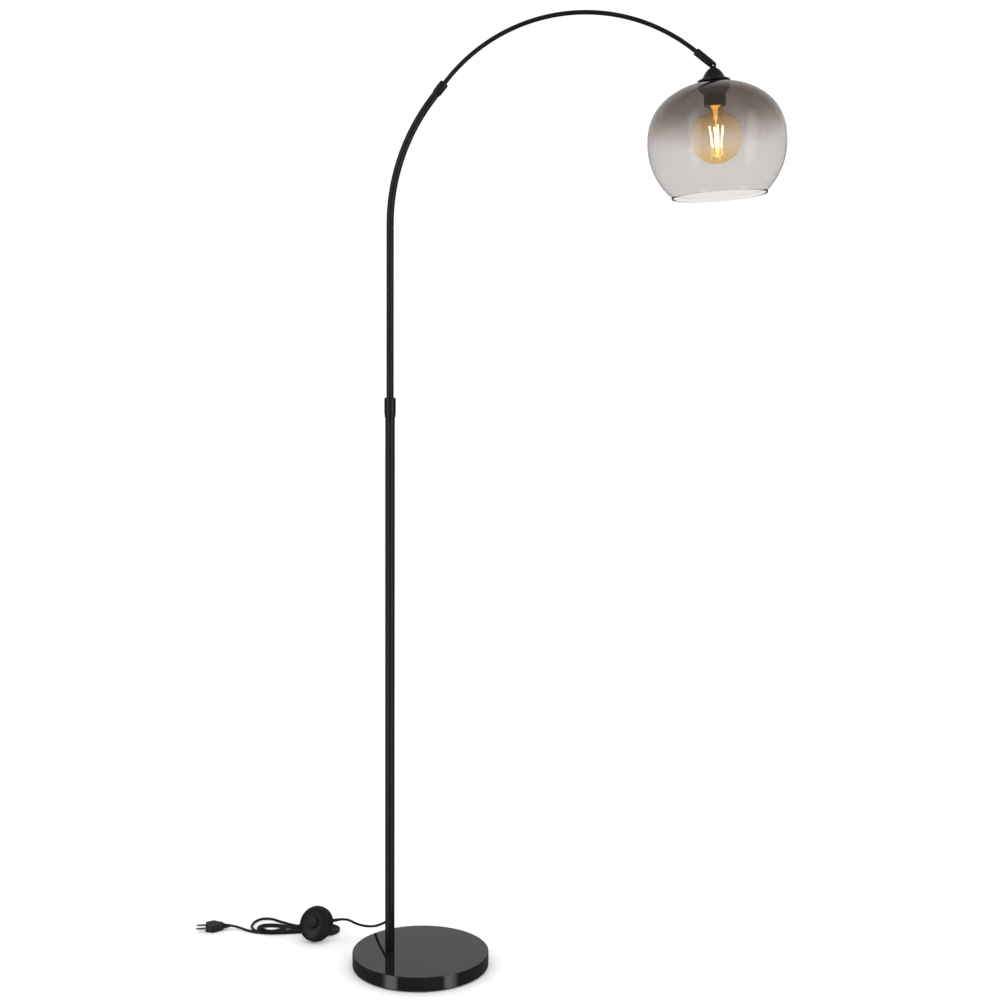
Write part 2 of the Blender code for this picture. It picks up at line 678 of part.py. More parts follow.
def head_cap(head):
    """Swivel link with its eye and hollow threaded stem, the bell cap on it and the nut inside."""
    bore_r = STEM_BORE / 2
    stem_r = STEM_D / 2
    plate_low = LINK_TOP + LINK_PLATE_THICK
    outline = [(LINK_PLATE_D / 2, LINK_TOP), (LINK_PLATE_D / 2, plate_low), (stem_r, plate_low)]
    outline += [(stem_r, STEM_LOW), (bore_r, STEM_LOW), (bore_r, LINK_TOP)]
    link = hung("swivel_link", outline, 24, black_paint(), head)
    upright = Matrix.Rotation(math.pi / 2, 4, "X")
    eye_r = EYE_R - 0.0001
    root = -(LINK_TOP + LINK_PLATE_THICK / 2)
    tongue = [(-eye_r, root), (eye_r, root)] + arc((0.0, 0.0), eye_r, 0.0, math.pi, 12)
    half = TONGUE_THICK / 2
    combine(link, prism("tongue", tongue, -half, half, black_paint(), head, upright), "UNION")
    hole = rod_outline(EYELET_D / 2 + GAP, -0.02, 0.02)
    combine(link, turned("eye_cutter", hole, 20, black_paint(), head, upright), "DIFFERENCE")

    flange_r = CAP_FLANGE_D / 2
    hole_r = stem_r + GAP
    outer = [(hole_r, CAP_TOP), (CAP_TOP_R, CAP_TOP), (CAP_TOP_R + 0.0015, CAP_TOP + 0.0010)]
    outer += [(CAP_TOP_R + 0.0062, CAP_TOP + 0.0064), (CAP_TOP_R + 0.0100, CAP_TOP + 0.0124)]
    outer += [(CAP_TOP_R + 0.0125, CAP_TOP + 0.0164), (flange_r - 0.0030, CAP_DEPTH - 0.0040)]
    outer += [(flange_r - 0.0005, CAP_DEPTH - 0.0025), (flange_r, CAP_DEPTH - 0.0012), (flange_r, CAP_DEPTH)]
    hung("shade_cap", outer + lined(outer, CAP_WALL)[::-1], 28, black_paint(), head)

    nut_top = CAP_TOP + CAP_WALL + GAP
    nut = hung("cap_nut", [(0.0, nut_top), (0.0078, nut_top), (0.0078, nut_top + 0.003), (0.0, nut_top + 0.003)],
               6, bare_steel(), head)
    tapped = hung("cap_nut_cutter", [(0.0, 0.0), (hole_r, 0.0), (hole_r, 0.03), (0.0, 0.03)], 16, bare_steel(), head)
    combine(nut, tapped, "DIFFERENCE")


def lamp_holder(head):
    """Screw lamp holder: its dome on the stem, its skirt through the glass, the shade ring and the contacts."""
    dark = black_plastic()
    skirt_r = HOLDER_D / 2
    bore_r = skirt_r - HOLDER_WALL
    stem_r = STEM_D / 2 + GAP
    boss = CAP_TOP + 0.0064
    seat = SHADE_TOP - GAP
    dome = [(stem_r, boss), (0.0075, boss), (0.0075, boss + 0.0032), (0.0140, boss + 0.0050)]
    dome += [(0.0165, boss + 0.0075), (skirt_r, seat - 0.0050), (skirt_r, seat - 0.0020)]
    dome += [(HOLDER_FLANGE_D / 2, seat - 0.0020), (HOLDER_FLANGE_D / 2, seat), (bore_r, seat)]
    dome += [(bore_r, seat - 0.0042), (0.0150, boss + 0.0090), (0.0130, boss + 0.0068), (stem_r, boss + 0.0056)]
    hung("holder_upper", dome, 20, dark, head)

    mouth_r = HOLDER_MOUTH_D / 2
    skirt = [(skirt_r, SHADE_TOP), (skirt_r, HOLDER_MOUTH - 0.0008), (skirt_r - 0.0006, HOLDER_MOUTH)]
    skirt += [(mouth_r, HOLDER_MOUTH), (mouth_r, HOLDER_MOUTH - 0.0020), (bore_r, HOLDER_MOUTH - 0.0020)]
    skirt += [(bore_r, SHADE_TOP)]
    hung("holder_lower", skirt, 24, dark, head)

    ring_r = RING_D / 2
    thread_r = skirt_r + GAP
    band_low = RING_TOP + RING_BAND
    ring = [(thread_r, RING_TOP), (ring_r - 0.0008, RING_TOP), (ring_r, RING_TOP + 0.0008)]
    ring += [(ring_r, band_low - 0.0008), (ring_r - 0.0008, band_low), (thread_r + 0.0010, band_low + RING_CONE)]
    ring += [(thread_r, band_low + RING_CONE)]
    hung("shade_ring", ring, 28, dark, head)

    insert_low = INSERT_TOP + INSERT_THICK
    insert = [(0.0, INSERT_TOP), (INSERT_D / 2, INSERT_TOP), (INSERT_D / 2, insert_low), (0.0, insert_low)]
    hung("contact_insert", insert, 20, finish("ceramic", (0.80, 0.78, 0.73), 0.35), head)
    shell_top = insert_low + GAP
    shell_r = SCREW_SHELL_D / 2
    bore_r = shell_r - SCREW_SHELL_WALL
    shell = [(shell_r, shell_top), (shell_r, shell_top + SCREW_SHELL_LENGTH)]
    shell += [(bore_r, shell_top + SCREW_SHELL_LENGTH), (bore_r, shell_top)]
    hung("screw_shell", shell, 24, brass(), head)
    contact = [(0.0, shell_top), (0.0035, shell_top), (0.0035, BULB_TIP - GAP), (0.0, BULB_TIP - GAP)]
    hung("centre_contact", contact, 12, brass(), head)
    core = INNER_LEAD_D / 2
    drop = [(0.0, LINK_TOP + 0.002), (core, LINK_TOP + 0.002), (core, INSERT_TOP - GAP), (0.0, INSERT_TOP - GAP)]
    hung("inner_lead_head", drop, 8, black_rubber(), head)


def glass_shade(head):
    """Blown globe: a full shoulder, a round belly and a short straight lip round the open bottom."""
    radius = SHADE_D / 2
    hole_r = SHADE_HOLE_R
    outer = []
    first = math.acos((hole_r / radius) ** (SHADE_FULLNESS / 2))
    for i in range(10):
        share = 1 - i / 9
        across = radius * math.cos(first * share ** 0.8) ** (2 / SHADE_FULLNESS)
        rise = SHADE_RISE * (1 - (across / radius) ** 2) ** (1 / SHADE_FULLNESS)
        outer.append((across, SHADE_BELLY - rise))
    last = math.acos(SHADE_NECK_R / radius)
    for i in range(1, 7):
        angle = last * i / 6
        outer.append((radius * math.cos(angle), SHADE_BELLY + radius * math.sin(angle)))
    lip_r = SHADE_LIP_D / 2
    neck = outer[-1][1]
    outer += [(lip_r + 0.0012, neck + SHADE_LIP * 0.25), (lip_r, neck + SHADE_LIP * 0.48)]
    outer += [(lip_r, neck + SHADE_LIP)]
    glass = finish("smoked_glass", (0.30, 0.26, 0.24), 0.03, alpha=0.45)
    hung("glass_shade", outer + lined(outer, SHADE_WALL)[::-1], 36, glass, head)


def bulb(head):
    """Globe filament bulb: screw cap, insulator, contact, glass, its inner mount and the filament rods."""
    cap_r = BULB_CAP_D / 2
    cap_low = BULB_CAP_TOP + BULB_CAP_LENGTH
    skin = 0.0005
    cap = [(cap_r - 0.0035, BULB_CAP_TOP), (cap_r, BULB_CAP_TOP + 0.0020), (cap_r, cap_low)]
    cap += [(cap_r - skin, cap_low), (cap_r - skin, BULB_CAP_TOP + 0.0024), (cap_r - 0.0035, BULB_CAP_TOP + 0.0010)]
    hung("bulb_screw_cap", cap, 24, bare_steel(), head)
    foot = BULB_TIP + 0.0016
    edge = cap_r - 0.0035 - GAP
    insulator = [(0.0, foot), (0.0060, foot), (edge, BULB_CAP_TOP), (edge, BULB_CAP_TOP + 0.0010)]
    insulator += [(0.0, BULB_CAP_TOP + 0.0010)]
    hung("bulb_insulator", insulator, 16, black_plastic(), head)
    tip = [(0.0, BULB_TIP), (0.0048, BULB_TIP), (0.0048, foot - GAP), (0.0, foot - GAP)]
    hung("bulb_contact", tip, 12, brass(), head)

    radius = BULB_D / 2
    throat_r = cap_r - skin - GAP
    meet = math.asin(0.0205 / radius)
    neck_low = BULB_CENTRE - radius * math.cos(meet)
    outer = [(throat_r, cap_low - 0.0060), (throat_r, cap_low + 0.0010), (0.0142, neck_low - 0.0095)]
    outer += [(0.0166, neck_low - 0.0048)]
    inner = [(r - BULB_WALL, depth) for r, depth in outer]
    for i in range(9):
        angle = meet + (math.pi - meet) * i / 9
        out = (math.sin(angle), -math.cos(angle))
        outer.append((radius * out[0], BULB_CENTRE + radius * out[1]))
        inner.append(((radius - BULB_WALL) * out[0], BULB_CENTRE + (radius - BULB_WALL) * out[1]))
    outer.append((0.0, BULB_CENTRE + radius))
    inner.append((0.0, BULB_CENTRE + radius - BULB_WALL))
    amber = finish("amber_glass", (0.95, 0.62, 0.25), 0.02, alpha=0.35)
    hung("bulb_glass", inner[::-1] + outer, 24, amber, head)

    clear = finish("clear_glass", (0.95, 0.93, 0.88), 0.02, alpha=0.4)
    flare_r = throat_r - BULB_WALL - GAP
    top = cap_low - 0.0050
    stem_low = FILAMENT_TOP - 0.0120
    stem = [(0.0, top), (flare_r, top), (flare_r, top + 0.0025), (0.0042, top + 0.0100)]
    stem += [(0.0034, stem_low), (0.0, stem_low + 0.0020)]
    mount = hung("bulb_stem", stem, 16, clear, head)
    post_low = FILAMENT_TOP + FILAMENT_LENGTH + 0.0030
    post = [(0.0, stem_low), (0.0009, stem_low), (0.0009, post_low), (0.0, post_low)]
    combine(mount, hung("bulb_post", post, 8, clear, head), "UNION")

    glow = finish("filament", (1.0, 0.62, 0.15), 0.5, glow=6.0)
    lean = math.asin((FILAMENT_SPREAD - FILAMENT_CLOSE) / FILAMENT_LENGTH)
    for i in range(FILAMENT_COUNT):
        turn = Matrix.Rotation(2 * math.pi * i / FILAMENT_COUNT + math.radians(6), 4, "Z")
        frame = turn @ Matrix.Translation((FILAMENT_SPREAD, 0, -FILAMENT_TOP)) @ Matrix.Rotation(lean, 4, "Y")
        rod = rod_outline(FILAMENT_D / 2, -FILAMENT_LENGTH, 0.0)
        turned(f"filament_{i + 1}", rod, 8, glow, head, frame)


def switch_frame():
    """The switch stands on its rim and leans back; Z runs out through the button and X along the lead."""
    heading = Matrix.Rotation(-SWITCH_HEADING, 4, "Z")
    lean = Matrix.Rotation(math.pi / 2 - SWITCH_LEAN, 4, "X")
    return Matrix.Translation(SWITCH_AT) @ heading @ lean @ Matrix.Rotation(SWITCH_ROLL, 4, "Z")


def foot_switch(stand, button_axis):
    """Round foot switch: base plate, domed cover, sprung button, contact block and a relief each side."""
    dark = black_plastic()
    radius = SWITCH_D / 2
    wall = SWITCH_WALL
    plate_r = radius - wall - GAP
    plate = turned("switch_base", rod_outline(plate_r, 0.0, SWITCH_BASE_THICK), 28, dark, stand)
    guide_r = BUTTON_D / 2 + GAP
    lip_r = guide_r + 0.0016
    brow_r = radius - 0.0020
    outer = [(radius, 0.0), (radius, SWITCH_RIM - 0.0028), (brow_r, SWITCH_RIM)]
    inner = [(radius - wall, 0.0), (radius - wall, SWITCH_RIM - 0.0033)]
    for i in range(1, 4):
        angle = math.pi / 2 * i / 3
        across = lip_r + (brow_r - lip_r) * math.cos(angle)
        height = SWITCH_RIM + (SWITCH_DOME - SWITCH_RIM) * math.sin(angle)
        outer.append((across, height))
        inner.append((across - wall * 0.7 * math.cos(angle), height - wall))
    outer.append((guide_r, SWITCH_DOME))
    inner.append((guide_r, SWITCH_DOME - wall))
    cover = turned("switch_cover", outer + inner[::-1], 28, dark, stand)

    lead_line = Matrix.Translation((0, 0, LEAD_HEIGHT)) @ Matrix.Rotation(math.pi / 2, 4, "Y")
    hole = rod_outline(RELIEF_D / 2 + GAP, -SWITCH_D, SWITCH_D)
    combine(cover, turned("relief_hole_cutter", hole, 14, dark, stand, lead_line), "DIFFERENCE")
    tip = radius + RELIEF_LENGTH
    relief = [(0.0, tip), (RELIEF_TIP_D / 2, tip), (RELIEF_D / 2, radius + 0.001), (RELIEF_D / 2, radius - 0.006)]
    relief += [(0.0, radius - 0.006)]
    turned("switch_relief_in", relief, 14, black_rubber(), stand, lead_line)
    other_way = lead_line @ Matrix.Rotation(math.pi, 4, "X")
    turned("switch_relief_out", relief, 14, black_rubber(), stand, other_way)

    block = [(-0.013, -0.009), (0.013, -0.009), (0.013, 0.009), (-0.013, 0.009)]
    floor = SWITCH_BASE_THICK + GAP
    block_top = floor + 0.0050
    white = finish("white_plastic", (0.75, 0.75, 0.73), 0.4)
    prism("switch_contacts", block, floor, block_top, white, stand)
    button_r = BUTTON_D / 2
    button_top = SWITCH_DOME + BUTTON_PROUD
    button_low = SWITCH_DOME - 0.0060
    pocket_top = button_low + POCKET_DEPTH
    shelf = SWITCH_DOME - wall - GAP
    knob = [(0.0, button_top), (button_r * 0.55, button_top - 0.0003), (button_r * 0.85, button_top - 0.0012)]
    knob += [(button_r, button_top - 0.0032), (button_r, shelf), (button_r + 0.0012, shelf)]
    knob += [(button_r + 0.0012, button_low), (POCKET_R, button_low), (POCKET_R, pocket_top), (0.0, pocket_top)]
    turned("switch_button", knob, 20, dark, button_axis)

    wire_r = 0.0005
    low = block_top + GAP + wire_r
    high = pocket_top - GAP - wire_r - BUTTON_TRAVEL
    coil = []
    for i in range(31):
        angle = 2 * math.pi * i / 10
        coil.append((0.0055 * math.cos(angle), 0.0055 * math.sin(angle), low + (high - low) * i / 30))
    wire("switch_spring", coil, 2 * wire_r, 0, bare_steel(), stand)
    screw_at = Matrix.Translation((0, plate_r * 0.62, 0))
    seat = turned(
        "screw_seat_cutter",
        rod_outline(0.0028 + GAP, -0.01, SWITCH_BASE_THICK * 0.5),
        12,
        dark,
        stand,
        screw_at,
    )
    combine(plate, seat, "DIFFERENCE")
    screw = rod_outline(0.0028, 0.0002, SWITCH_BASE_THICK * 0.5 - GAP)
    turned("switch_screw", screw, 12, bare_steel(), stand, screw_at)


def hank():
    """The spare lead, wound into a flat pinched loop on the floor, and the tie round its waist."""
    prism("cord_hank", smooth_outline(HANK_OUTLINE, 4), GAP, HANK_HEIGHT, black_rubber(), None)
    x, y = TIE_AT
    outside = TIE_SPAN / 2
    inside = outside - TIE_THICK
    under = HANK_HEIGHT + GAP
    strap = [(-outside, GAP), (-inside, GAP), (-inside, under), (inside, under), (inside, GAP), (outside, GAP)]
    strap += [(outside, under + TIE_THICK), (-outside, under + TIE_THICK)]
    half = TIE_WIDTH / 2
    across = Matrix.Translation((x, y, 0)) @ Matrix.Rotation(math.pi / 2, 4, "Z")
    frame = across @ Matrix.Rotation(math.pi / 2, 4, "X")
    prism("hank_tie", strap, -half, half, black_rubber(), None, frame)


def plug(rest):
    """Flat two-pin plug lying on the floor. X runs out along the pins."""
    dark = black_plastic()
    half = PLUG_WIDTH / 2
    neck = PLUG_NECK_WIDTH / 2
    back = -PLUG_LENGTH
    outline = [(0.0, -half * 0.72), (0.0, half * 0.72), (-0.007, half * 0.80), (-0.012, half)]
    outline += [(-0.017, half), (back * 0.75, half * 0.62), (back, neck), (back, -neck)]
    outline += [(back * 0.75, -half * 0.62), (-0.017, -half), (-0.012, -half), (-0.007, -half * 0.80)]
    thick = PLUG_THICK / 2
    body = prism("plug_body", outline[::-1], -thick, thick, dark, rest)
    bevel = body.modifiers.new("soft_edges", "BEVEL")
    bevel.width = 0.0020
    bevel.segments = 2
    bevel.limit_method = "ANGLE"
    bevel.angle_limit = math.radians(50)
    run = Matrix.Rotation(math.pi / 2, 4, "Y")
    for name, side in (("plug_pin_left", -1), ("plug_pin_right", 1)):
        at = Matrix.Translation((0, side * PIN_PITCH / 2, 0)) @ run
        pin = [(0.0, PIN_LENGTH), (PLUG_PIN_D / 2 - 0.0008, PIN_LENGTH), (PLUG_PIN_D / 2, PIN_LENGTH - 0.0012)]
        pin += [(PLUG_PIN_D / 2, GAP), (0.0, GAP)]
        turned(name, pin, 12, bare_steel(), rest, at)
    boot = [(0.0, -GAP), (neck - 0.0010, -GAP), (RELIEF_TIP_D / 2, -PLUG_BOOT_LENGTH), (0.0, -PLUG_BOOT_LENGTH)]
    turned("plug_relief", boot, 14, black_rubber(), rest, Matrix.Translation((back, 0, 0)) @ run)


def mains_lead(pole, stand, rest):
    """The three lengths of lead that show: from the gland to the switch, on to the hank, and to the plug."""
    reach = SWITCH_D / 2 + RELIEF_LENGTH + GAP
    lamp_side = stand.matrix_world @ Vector((reach, 0, LEAD_HEIGHT))
    plug_side = stand.matrix_world @ Vector((-reach, 0, LEAD_HEIGHT))
    along = (plug_side - lamp_side).normalized()
    start = pole.matrix_world @ Vector((0, LOWER_TUBE_D / 2 + GLAND_LENGTH + GAP, GLAND_HEIGHT))
    backwards = Vector((0, 1, 0))
    route = [start, *LEAD_ROUTE, lamp_side]
    lead("cord_lead", route, CORD_D, first_way=backwards, last_way=along)
    lead("cord_link", [plug_side, *HANK_ENTRY_ROUTE], CORD_D, first_way=along)
    boot_tip = rest.matrix_world @ Vector((-PLUG_LENGTH - PLUG_BOOT_LENGTH - GAP, 0, 0))
    away = -(rest.matrix_world.to_3x3() @ Vector((1, 0, 0)))
    lead("cord_tail", [boot_tip, *TAIL_ROUTE], CORD_D, first_way=away)


def build():
    clear_scene()
    pole = carrier("pole_axis", Matrix.Translation((-POLE_OFFSET, 0, 0)))
    collar_carrier = carrier("height_collar_axis", Matrix(), pole)
    slider = carrier("height_slider_axis", Matrix(), pole)
    mast_carrier = carrier("mast_axis", Matrix(), slider)
    bend_x = BEND_RADIUS * (1 - math.cos(BEND_TURN))
    bend_z = BEND_START + BEND_RADIUS * math.sin(BEND_TURN)
    elbow = Matrix.Translation((bend_x, 0, bend_z)) @ Matrix.Rotation(BEND_TURN, 4, "Y")
    arch_collar = carrier("arch_collar_axis", elbow, mast_carrier)
    arch_carrier = carrier("arch_axis", elbow, mast_carrier)
    base(pole)
    lower_tube(pole)
    mast(collar_carrier, slider, mast_carrier)
    x, z, tilt = arch(arch_collar, arch_carrier)
    end = Matrix.Translation((x, 0, z)) @ Matrix.Rotation(tilt, 4, "Y")
    tip = carrier("sleeve_axis", end, arch_carrier)
    end_sleeve(tip)

    bpy.context.view_layer.update()
    pivot = tip.matrix_world @ Vector((0, 0, PIVOT_REACH))
    head = carrier("head_pivot", Matrix.Translation(pivot) @ Matrix.Rotation(-HEAD_TILT, 4, "Y"))
    head_cap(head)
    lamp_holder(head)
    glass_shade(head)
    bulb(head)

    stand = carrier("switch_stand", switch_frame())
    foot_switch(stand, carrier("button_axis", Matrix(), stand))
    hank()
    plug_turn = Matrix.Rotation(math.pi + PLUG_HEADING, 4, "Z")
    rest = carrier("plug_rest", Matrix.Translation(PLUG_AT) @ plug_turn)
    plug(rest)
    bpy.context.view_layer.update()
    mains_lead(pole, stand, rest)


build()
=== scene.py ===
"""Arc floor lamp: marble foot, telescoping mast, thin arch, smoked globe with a filament bulb, foot switch."""

import json
import math

import bpy
from mathutils import Matrix, Vector

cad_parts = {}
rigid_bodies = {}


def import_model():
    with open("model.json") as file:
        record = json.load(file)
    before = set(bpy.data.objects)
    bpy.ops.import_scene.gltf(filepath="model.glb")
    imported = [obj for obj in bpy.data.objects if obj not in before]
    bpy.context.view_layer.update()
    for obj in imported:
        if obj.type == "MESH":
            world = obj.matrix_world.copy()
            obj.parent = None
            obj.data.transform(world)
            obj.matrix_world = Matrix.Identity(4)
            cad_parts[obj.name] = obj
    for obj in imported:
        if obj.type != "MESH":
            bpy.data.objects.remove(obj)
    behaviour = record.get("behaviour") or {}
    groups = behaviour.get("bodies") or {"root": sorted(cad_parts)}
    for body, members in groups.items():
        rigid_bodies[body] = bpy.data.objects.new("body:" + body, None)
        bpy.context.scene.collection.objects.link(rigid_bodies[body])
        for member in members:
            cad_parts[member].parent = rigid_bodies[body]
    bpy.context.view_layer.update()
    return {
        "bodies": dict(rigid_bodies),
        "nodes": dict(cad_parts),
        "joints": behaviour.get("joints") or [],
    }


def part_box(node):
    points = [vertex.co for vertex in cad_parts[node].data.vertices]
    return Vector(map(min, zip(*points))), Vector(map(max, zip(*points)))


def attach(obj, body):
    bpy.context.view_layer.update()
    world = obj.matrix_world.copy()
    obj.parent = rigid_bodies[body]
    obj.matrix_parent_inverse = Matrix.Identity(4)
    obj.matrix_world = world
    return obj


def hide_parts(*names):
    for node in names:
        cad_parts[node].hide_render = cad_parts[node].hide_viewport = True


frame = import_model()
bpy.ops.object.select_all(action="DESELECT")

# Camera: a standing person's view from the front, looking a little down and turned slightly,
# with the whole lamp from foot to arch in the picture.
LENS = 52.99
EYE = (0.1462, -2.7371, 1.1192)
LOOK_DOWN = math.radians(85.3)
LOOK_ROLL = math.radians(0.38)
camera_data = bpy.data.cameras.new("view")
camera_data.lens = LENS
camera_data.sensor_width = 36.0
camera = bpy.data.objects.new("view", camera_data)
bpy.context.scene.collection.objects.link(camera)
aim = Matrix.Rotation(LOOK_DOWN, 4, "X") @ Matrix.Rotation(LOOK_ROLL, 4, "Z")
camera.matrix_world = Matrix.Translation(EYE) @ aim
bpy.context.scene.camera = camera
bpy.context.scene.view_settings.view_transform = "Standard"


# Mains lead: round black PVC flex. It leaves a grommet in the back of the pole, drops to the floor,
# rises into the foot switch, and its spare is wound in three flat turns under a tie before the plug.
CORD_D = 0.0048
SWITCH_IN = (-0.1638, 0.1079, 0.0478)
SWITCH_OUT = (-0.2686, 0.1317, 0.0214)
PLUG_BOOT_TIP = (-0.3947, 0.1756, 0.0076)
FLOOR = 0.0027


class Feed:
    """A socket of a finish's nodes. Arithmetic on it adds Math nodes."""

    def __init__(self, tree, socket):
        self.tree = tree
        self.socket = socket

    def node(self, kind, sockets, out=0, **settings):
        """Any other node: its type, its sockets' values or links, and its settings or a ramp's stops."""
        made = self.tree.nodes.new(kind)
        stops = settings.pop("stops", ())
        for name, value in settings.items():
            setattr(made, name, value)
        for i, (place, colour) in enumerate(stops):
            ramp = made.color_ramp.elements
            stop = ramp[i] if i < 2 else ramp.new(place)
            stop.position = place
            stop.color = (*colour, 1.0)
        for name, value in sockets.items():
            if isinstance(value, Feed):
                self.tree.links.new(value.socket, made.inputs[name])
            else:
                made.inputs[name].default_value = value
        return Feed(self.tree, made.outputs[out])

    def maths(self, operation, first, second):
        return self.node("ShaderNodeMath", {0: first, 1: second}, operation=operation)

    def __add__(self, other):
        return self.maths("ADD", self, other)

    def __sub__(self, other):
        return self.maths("SUBTRACT", self, other)

    def __rsub__(self, other):
        return self.maths("SUBTRACT", other, self)

    def __mul__(self, other):
        return self.maths("MULTIPLY", self, other)

    __radd__ = __add__
    __rmul__ = __mul__

    def noise(self, scale, detail=2.0, rough=0.5):
        sockets = {"Vector": self, "Scale": scale, "Detail": detail, "Roughness": rough}
        return self.node("ShaderNodeTexNoise", sockets)

    def span(self, low, high, to_low=0.0, to_high=1.0):
        """This value moved from one range to another, and kept inside it."""
        sockets = {"Value": self, "From Min": low, "From Max": high, "To Min": to_low, "To Max": to_high}
        return self.node("ShaderNodeMapRange", sockets)

    def mixed(self, first, second):
        """A colour between two others by this value."""
        sockets = {0: self, 6: first, 7: second}
        return self.node("ShaderNodeMix", sockets, out=2, data_type="RGBA")


class Finish:
    """A named finish: a Principled shader with its even values set on its own sockets."""

    def __init__(self, name, colour, roughness, **sockets):
        self.material = bpy.data.materials.new(name)
        self.material.use_nodes = True
        self.tree = self.material.node_tree
        self.shader = self.tree.nodes["Principled BSDF"]
        self.shader.inputs["Base Color"].default_value = (*colour, 1.0)
        self.shader.inputs["Roughness"].default_value = roughness
        for socket, value in sockets.items():
            self.shader.inputs[socket.replace("_", " ")].default_value = value
        coordinates = self.tree.nodes.new("ShaderNodeTexCoord")
        self.place = Feed(self.tree, coordinates.outputs["Object"])

    def feed(self, socket, value):
        self.tree.links.new(value.socket, self.shader.inputs[socket])

    def bump(self, height, depth, strength=1.0):
        sockets = {"Height": height, "Distance": depth, "Strength": strength}
        self.feed("Normal", self.place.node("ShaderNodeBump", sockets))


def tone(value, warm=1.0):
    """A grey as a colour with its fourth number, a touch warm or cool."""
    return (value * warm, value, value / warm, 1.0)


flex = Finish("black_flex", (0.012, 0.012, 0.013), 0.46, Specular_IOR_Level=0.4)
flex.feed("Base Color", flex.place.noise(60.0).mixed(tone(0.006), tone(0.010)))
flex.feed("Roughness", flex.place.noise(300.0).span(0.3, 0.7, 0.40, 0.54))
flex.bump(flex.place.noise(1400.0), 0.0001, 0.35)


def fit(piece, finish, body, slot, *nodes):
    """Gives a finished piece its material and CAD body, and hides the nodes that it stands for. Its slot is not
    used.
    """
    piece.data.materials.clear()
    piece.data.materials.append(finish.material)
    piece.update_tag(refresh={"DATA"})
    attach(piece, body)
    if nodes:
        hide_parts(*nodes)
    return piece


def lay_cord(name, route):
    """A round flex that runs smoothly through the points of its route."""
    curve = bpy.data.curves.new(name, "CURVE")
    curve.dimensions = "3D"
    curve.bevel_depth = CORD_D / 2
    curve.bevel_resolution = 5
    curve.resolution_u = 8
    curve.use_fill_caps = True
    spline = curve.splines.new("BEZIER")
    spline.bezier_points.add(len(route) - 1)
    for knot, point in zip(spline.bezier_points, route):
        knot.co = point
        knot.handle_left_type = knot.handle_right_type = "AUTO"
    piece = bpy.data.objects.new(name, curve)
    bpy.context.scene.collection.objects.link(piece)
    return piece


GLAND_TIP = (-0.0590, 0.0238, 0.0775)
lamp_route = [GLAND_TIP, (-0.0597, 0.0296, 0.0768), (-0.0620, 0.0360, 0.0745), (-0.0690, 0.0500, 0.0660)]
lamp_route += [(-0.0775, 0.0650, 0.0563), (-0.0865, 0.0800, 0.0474), (-0.0935, 0.0965, 0.0392)]
lamp_route += [(-0.0995, 0.1125, 0.0325), (-0.1060, 0.1214, 0.0288), (-0.1128, 0.1265, 0.0268)]
lamp_route += [(-0.1195, 0.1285, 0.0268), (-0.1260, 0.1275, 0.0286), (-0.1325, 0.1231, 0.0325)]
lamp_route += [(-0.1390, 0.1175, 0.0375), (-0.1450, 0.1128, 0.0426), (-0.1510, 0.1098, 0.0460), SWITCH_IN]
lamp_cord = lay_cord("lamp_cord", lamp_route)

# The entry comes down from the switch over the front strands, and each turn lies outside the one before it.
spare_route = [SWITCH_OUT, (-0.2770, 0.1336, 0.0192), (-0.2860, 0.1360, 0.0165), (-0.2945, 0.1388, 0.0134)]
spare_route += [(-0.3030, 0.1420, 0.0107), (-0.3125, 0.1458, 0.0088), (-0.3215, 0.1512, 0.0083)]
spare_route += [(-0.3293, 0.1592, 0.0080), (-0.3334, 0.1690, 0.0062), (-0.3325, 0.1795, 0.0036)]
spare_route += [(-0.3250, 0.1865, FLOOR), (-0.3110, 0.1882, FLOOR), (-0.2850, 0.1820, FLOOR)]
first_turn = [(-0.2620, 0.1762), (-0.2400, 0.1735), (-0.2150, 0.1795), (-0.2010, 0.1825), (-0.1895, 0.1765)]
first_turn += [(-0.1870, 0.1650), (-0.1940, 0.1560), (-0.2090, 0.1545), (-0.2250, 0.1600), (-0.2400, 0.1665)]
second_turn = [(-0.2700, 0.1640), (-0.3000, 0.1602), (-0.3215, 0.1608), (-0.3362, 0.1680), (-0.3402, 0.1800)]
second_turn += [(-0.3340, 0.1915), (-0.3180, 0.1958), (-0.3000, 0.1930), (-0.2700, 0.1846), (-0.2400, 0.1785)]
second_turn += [(-0.2150, 0.1855), (-0.1985, 0.1892), (-0.1850, 0.1810), (-0.1813, 0.1660), (-0.1885, 0.1525)]
second_turn += [(-0.2060, 0.1485), (-0.2250, 0.1545), (-0.2400, 0.1615)]
third_turn = [(-0.2700, 0.1582), (-0.3000, 0.1550), (-0.3250, 0.1553), (-0.3430, 0.1625), (-0.3525, 0.1775)]
third_turn += [(-0.3545, 0.1960), (-0.3505, 0.2145), (-0.3395, 0.2270), (-0.3225, 0.2275), (-0.3000, 0.2125)]
third_turn += [(-0.2700, 0.1935), (-0.2400, 0.1840), (-0.2150, 0.1918), (-0.1965, 0.1960), (-0.1800, 0.1860)]
third_turn += [(-0.1757, 0.1690), (-0.1815, 0.1515), (-0.2000, 0.1420), (-0.2220, 0.1485), (-0.2400, 0.1565)]
way_out = [(-0.2700, 0.1528), (-0.3000, 0.1498), (-0.3250, 0.1502), (-0.3445, 0.1553), (-0.3540, 0.1600)]
spare_route += [(x, y, FLOOR) for x, y in first_turn + second_turn + third_turn + way_out]
spare_route += [(-0.3640, 0.1660, 0.0029), (-0.3720, 0.1706, 0.0037), (-0.3800, 0.1737, 0.0048)]
spare_route += [(-0.3875, 0.1749, 0.0064), PLUG_BOOT_TIP]
spare_cord = lay_cord("spare_cord", spare_route)
fit(lamp_cord, flex, "base", "black_rubber", "cord_lead")
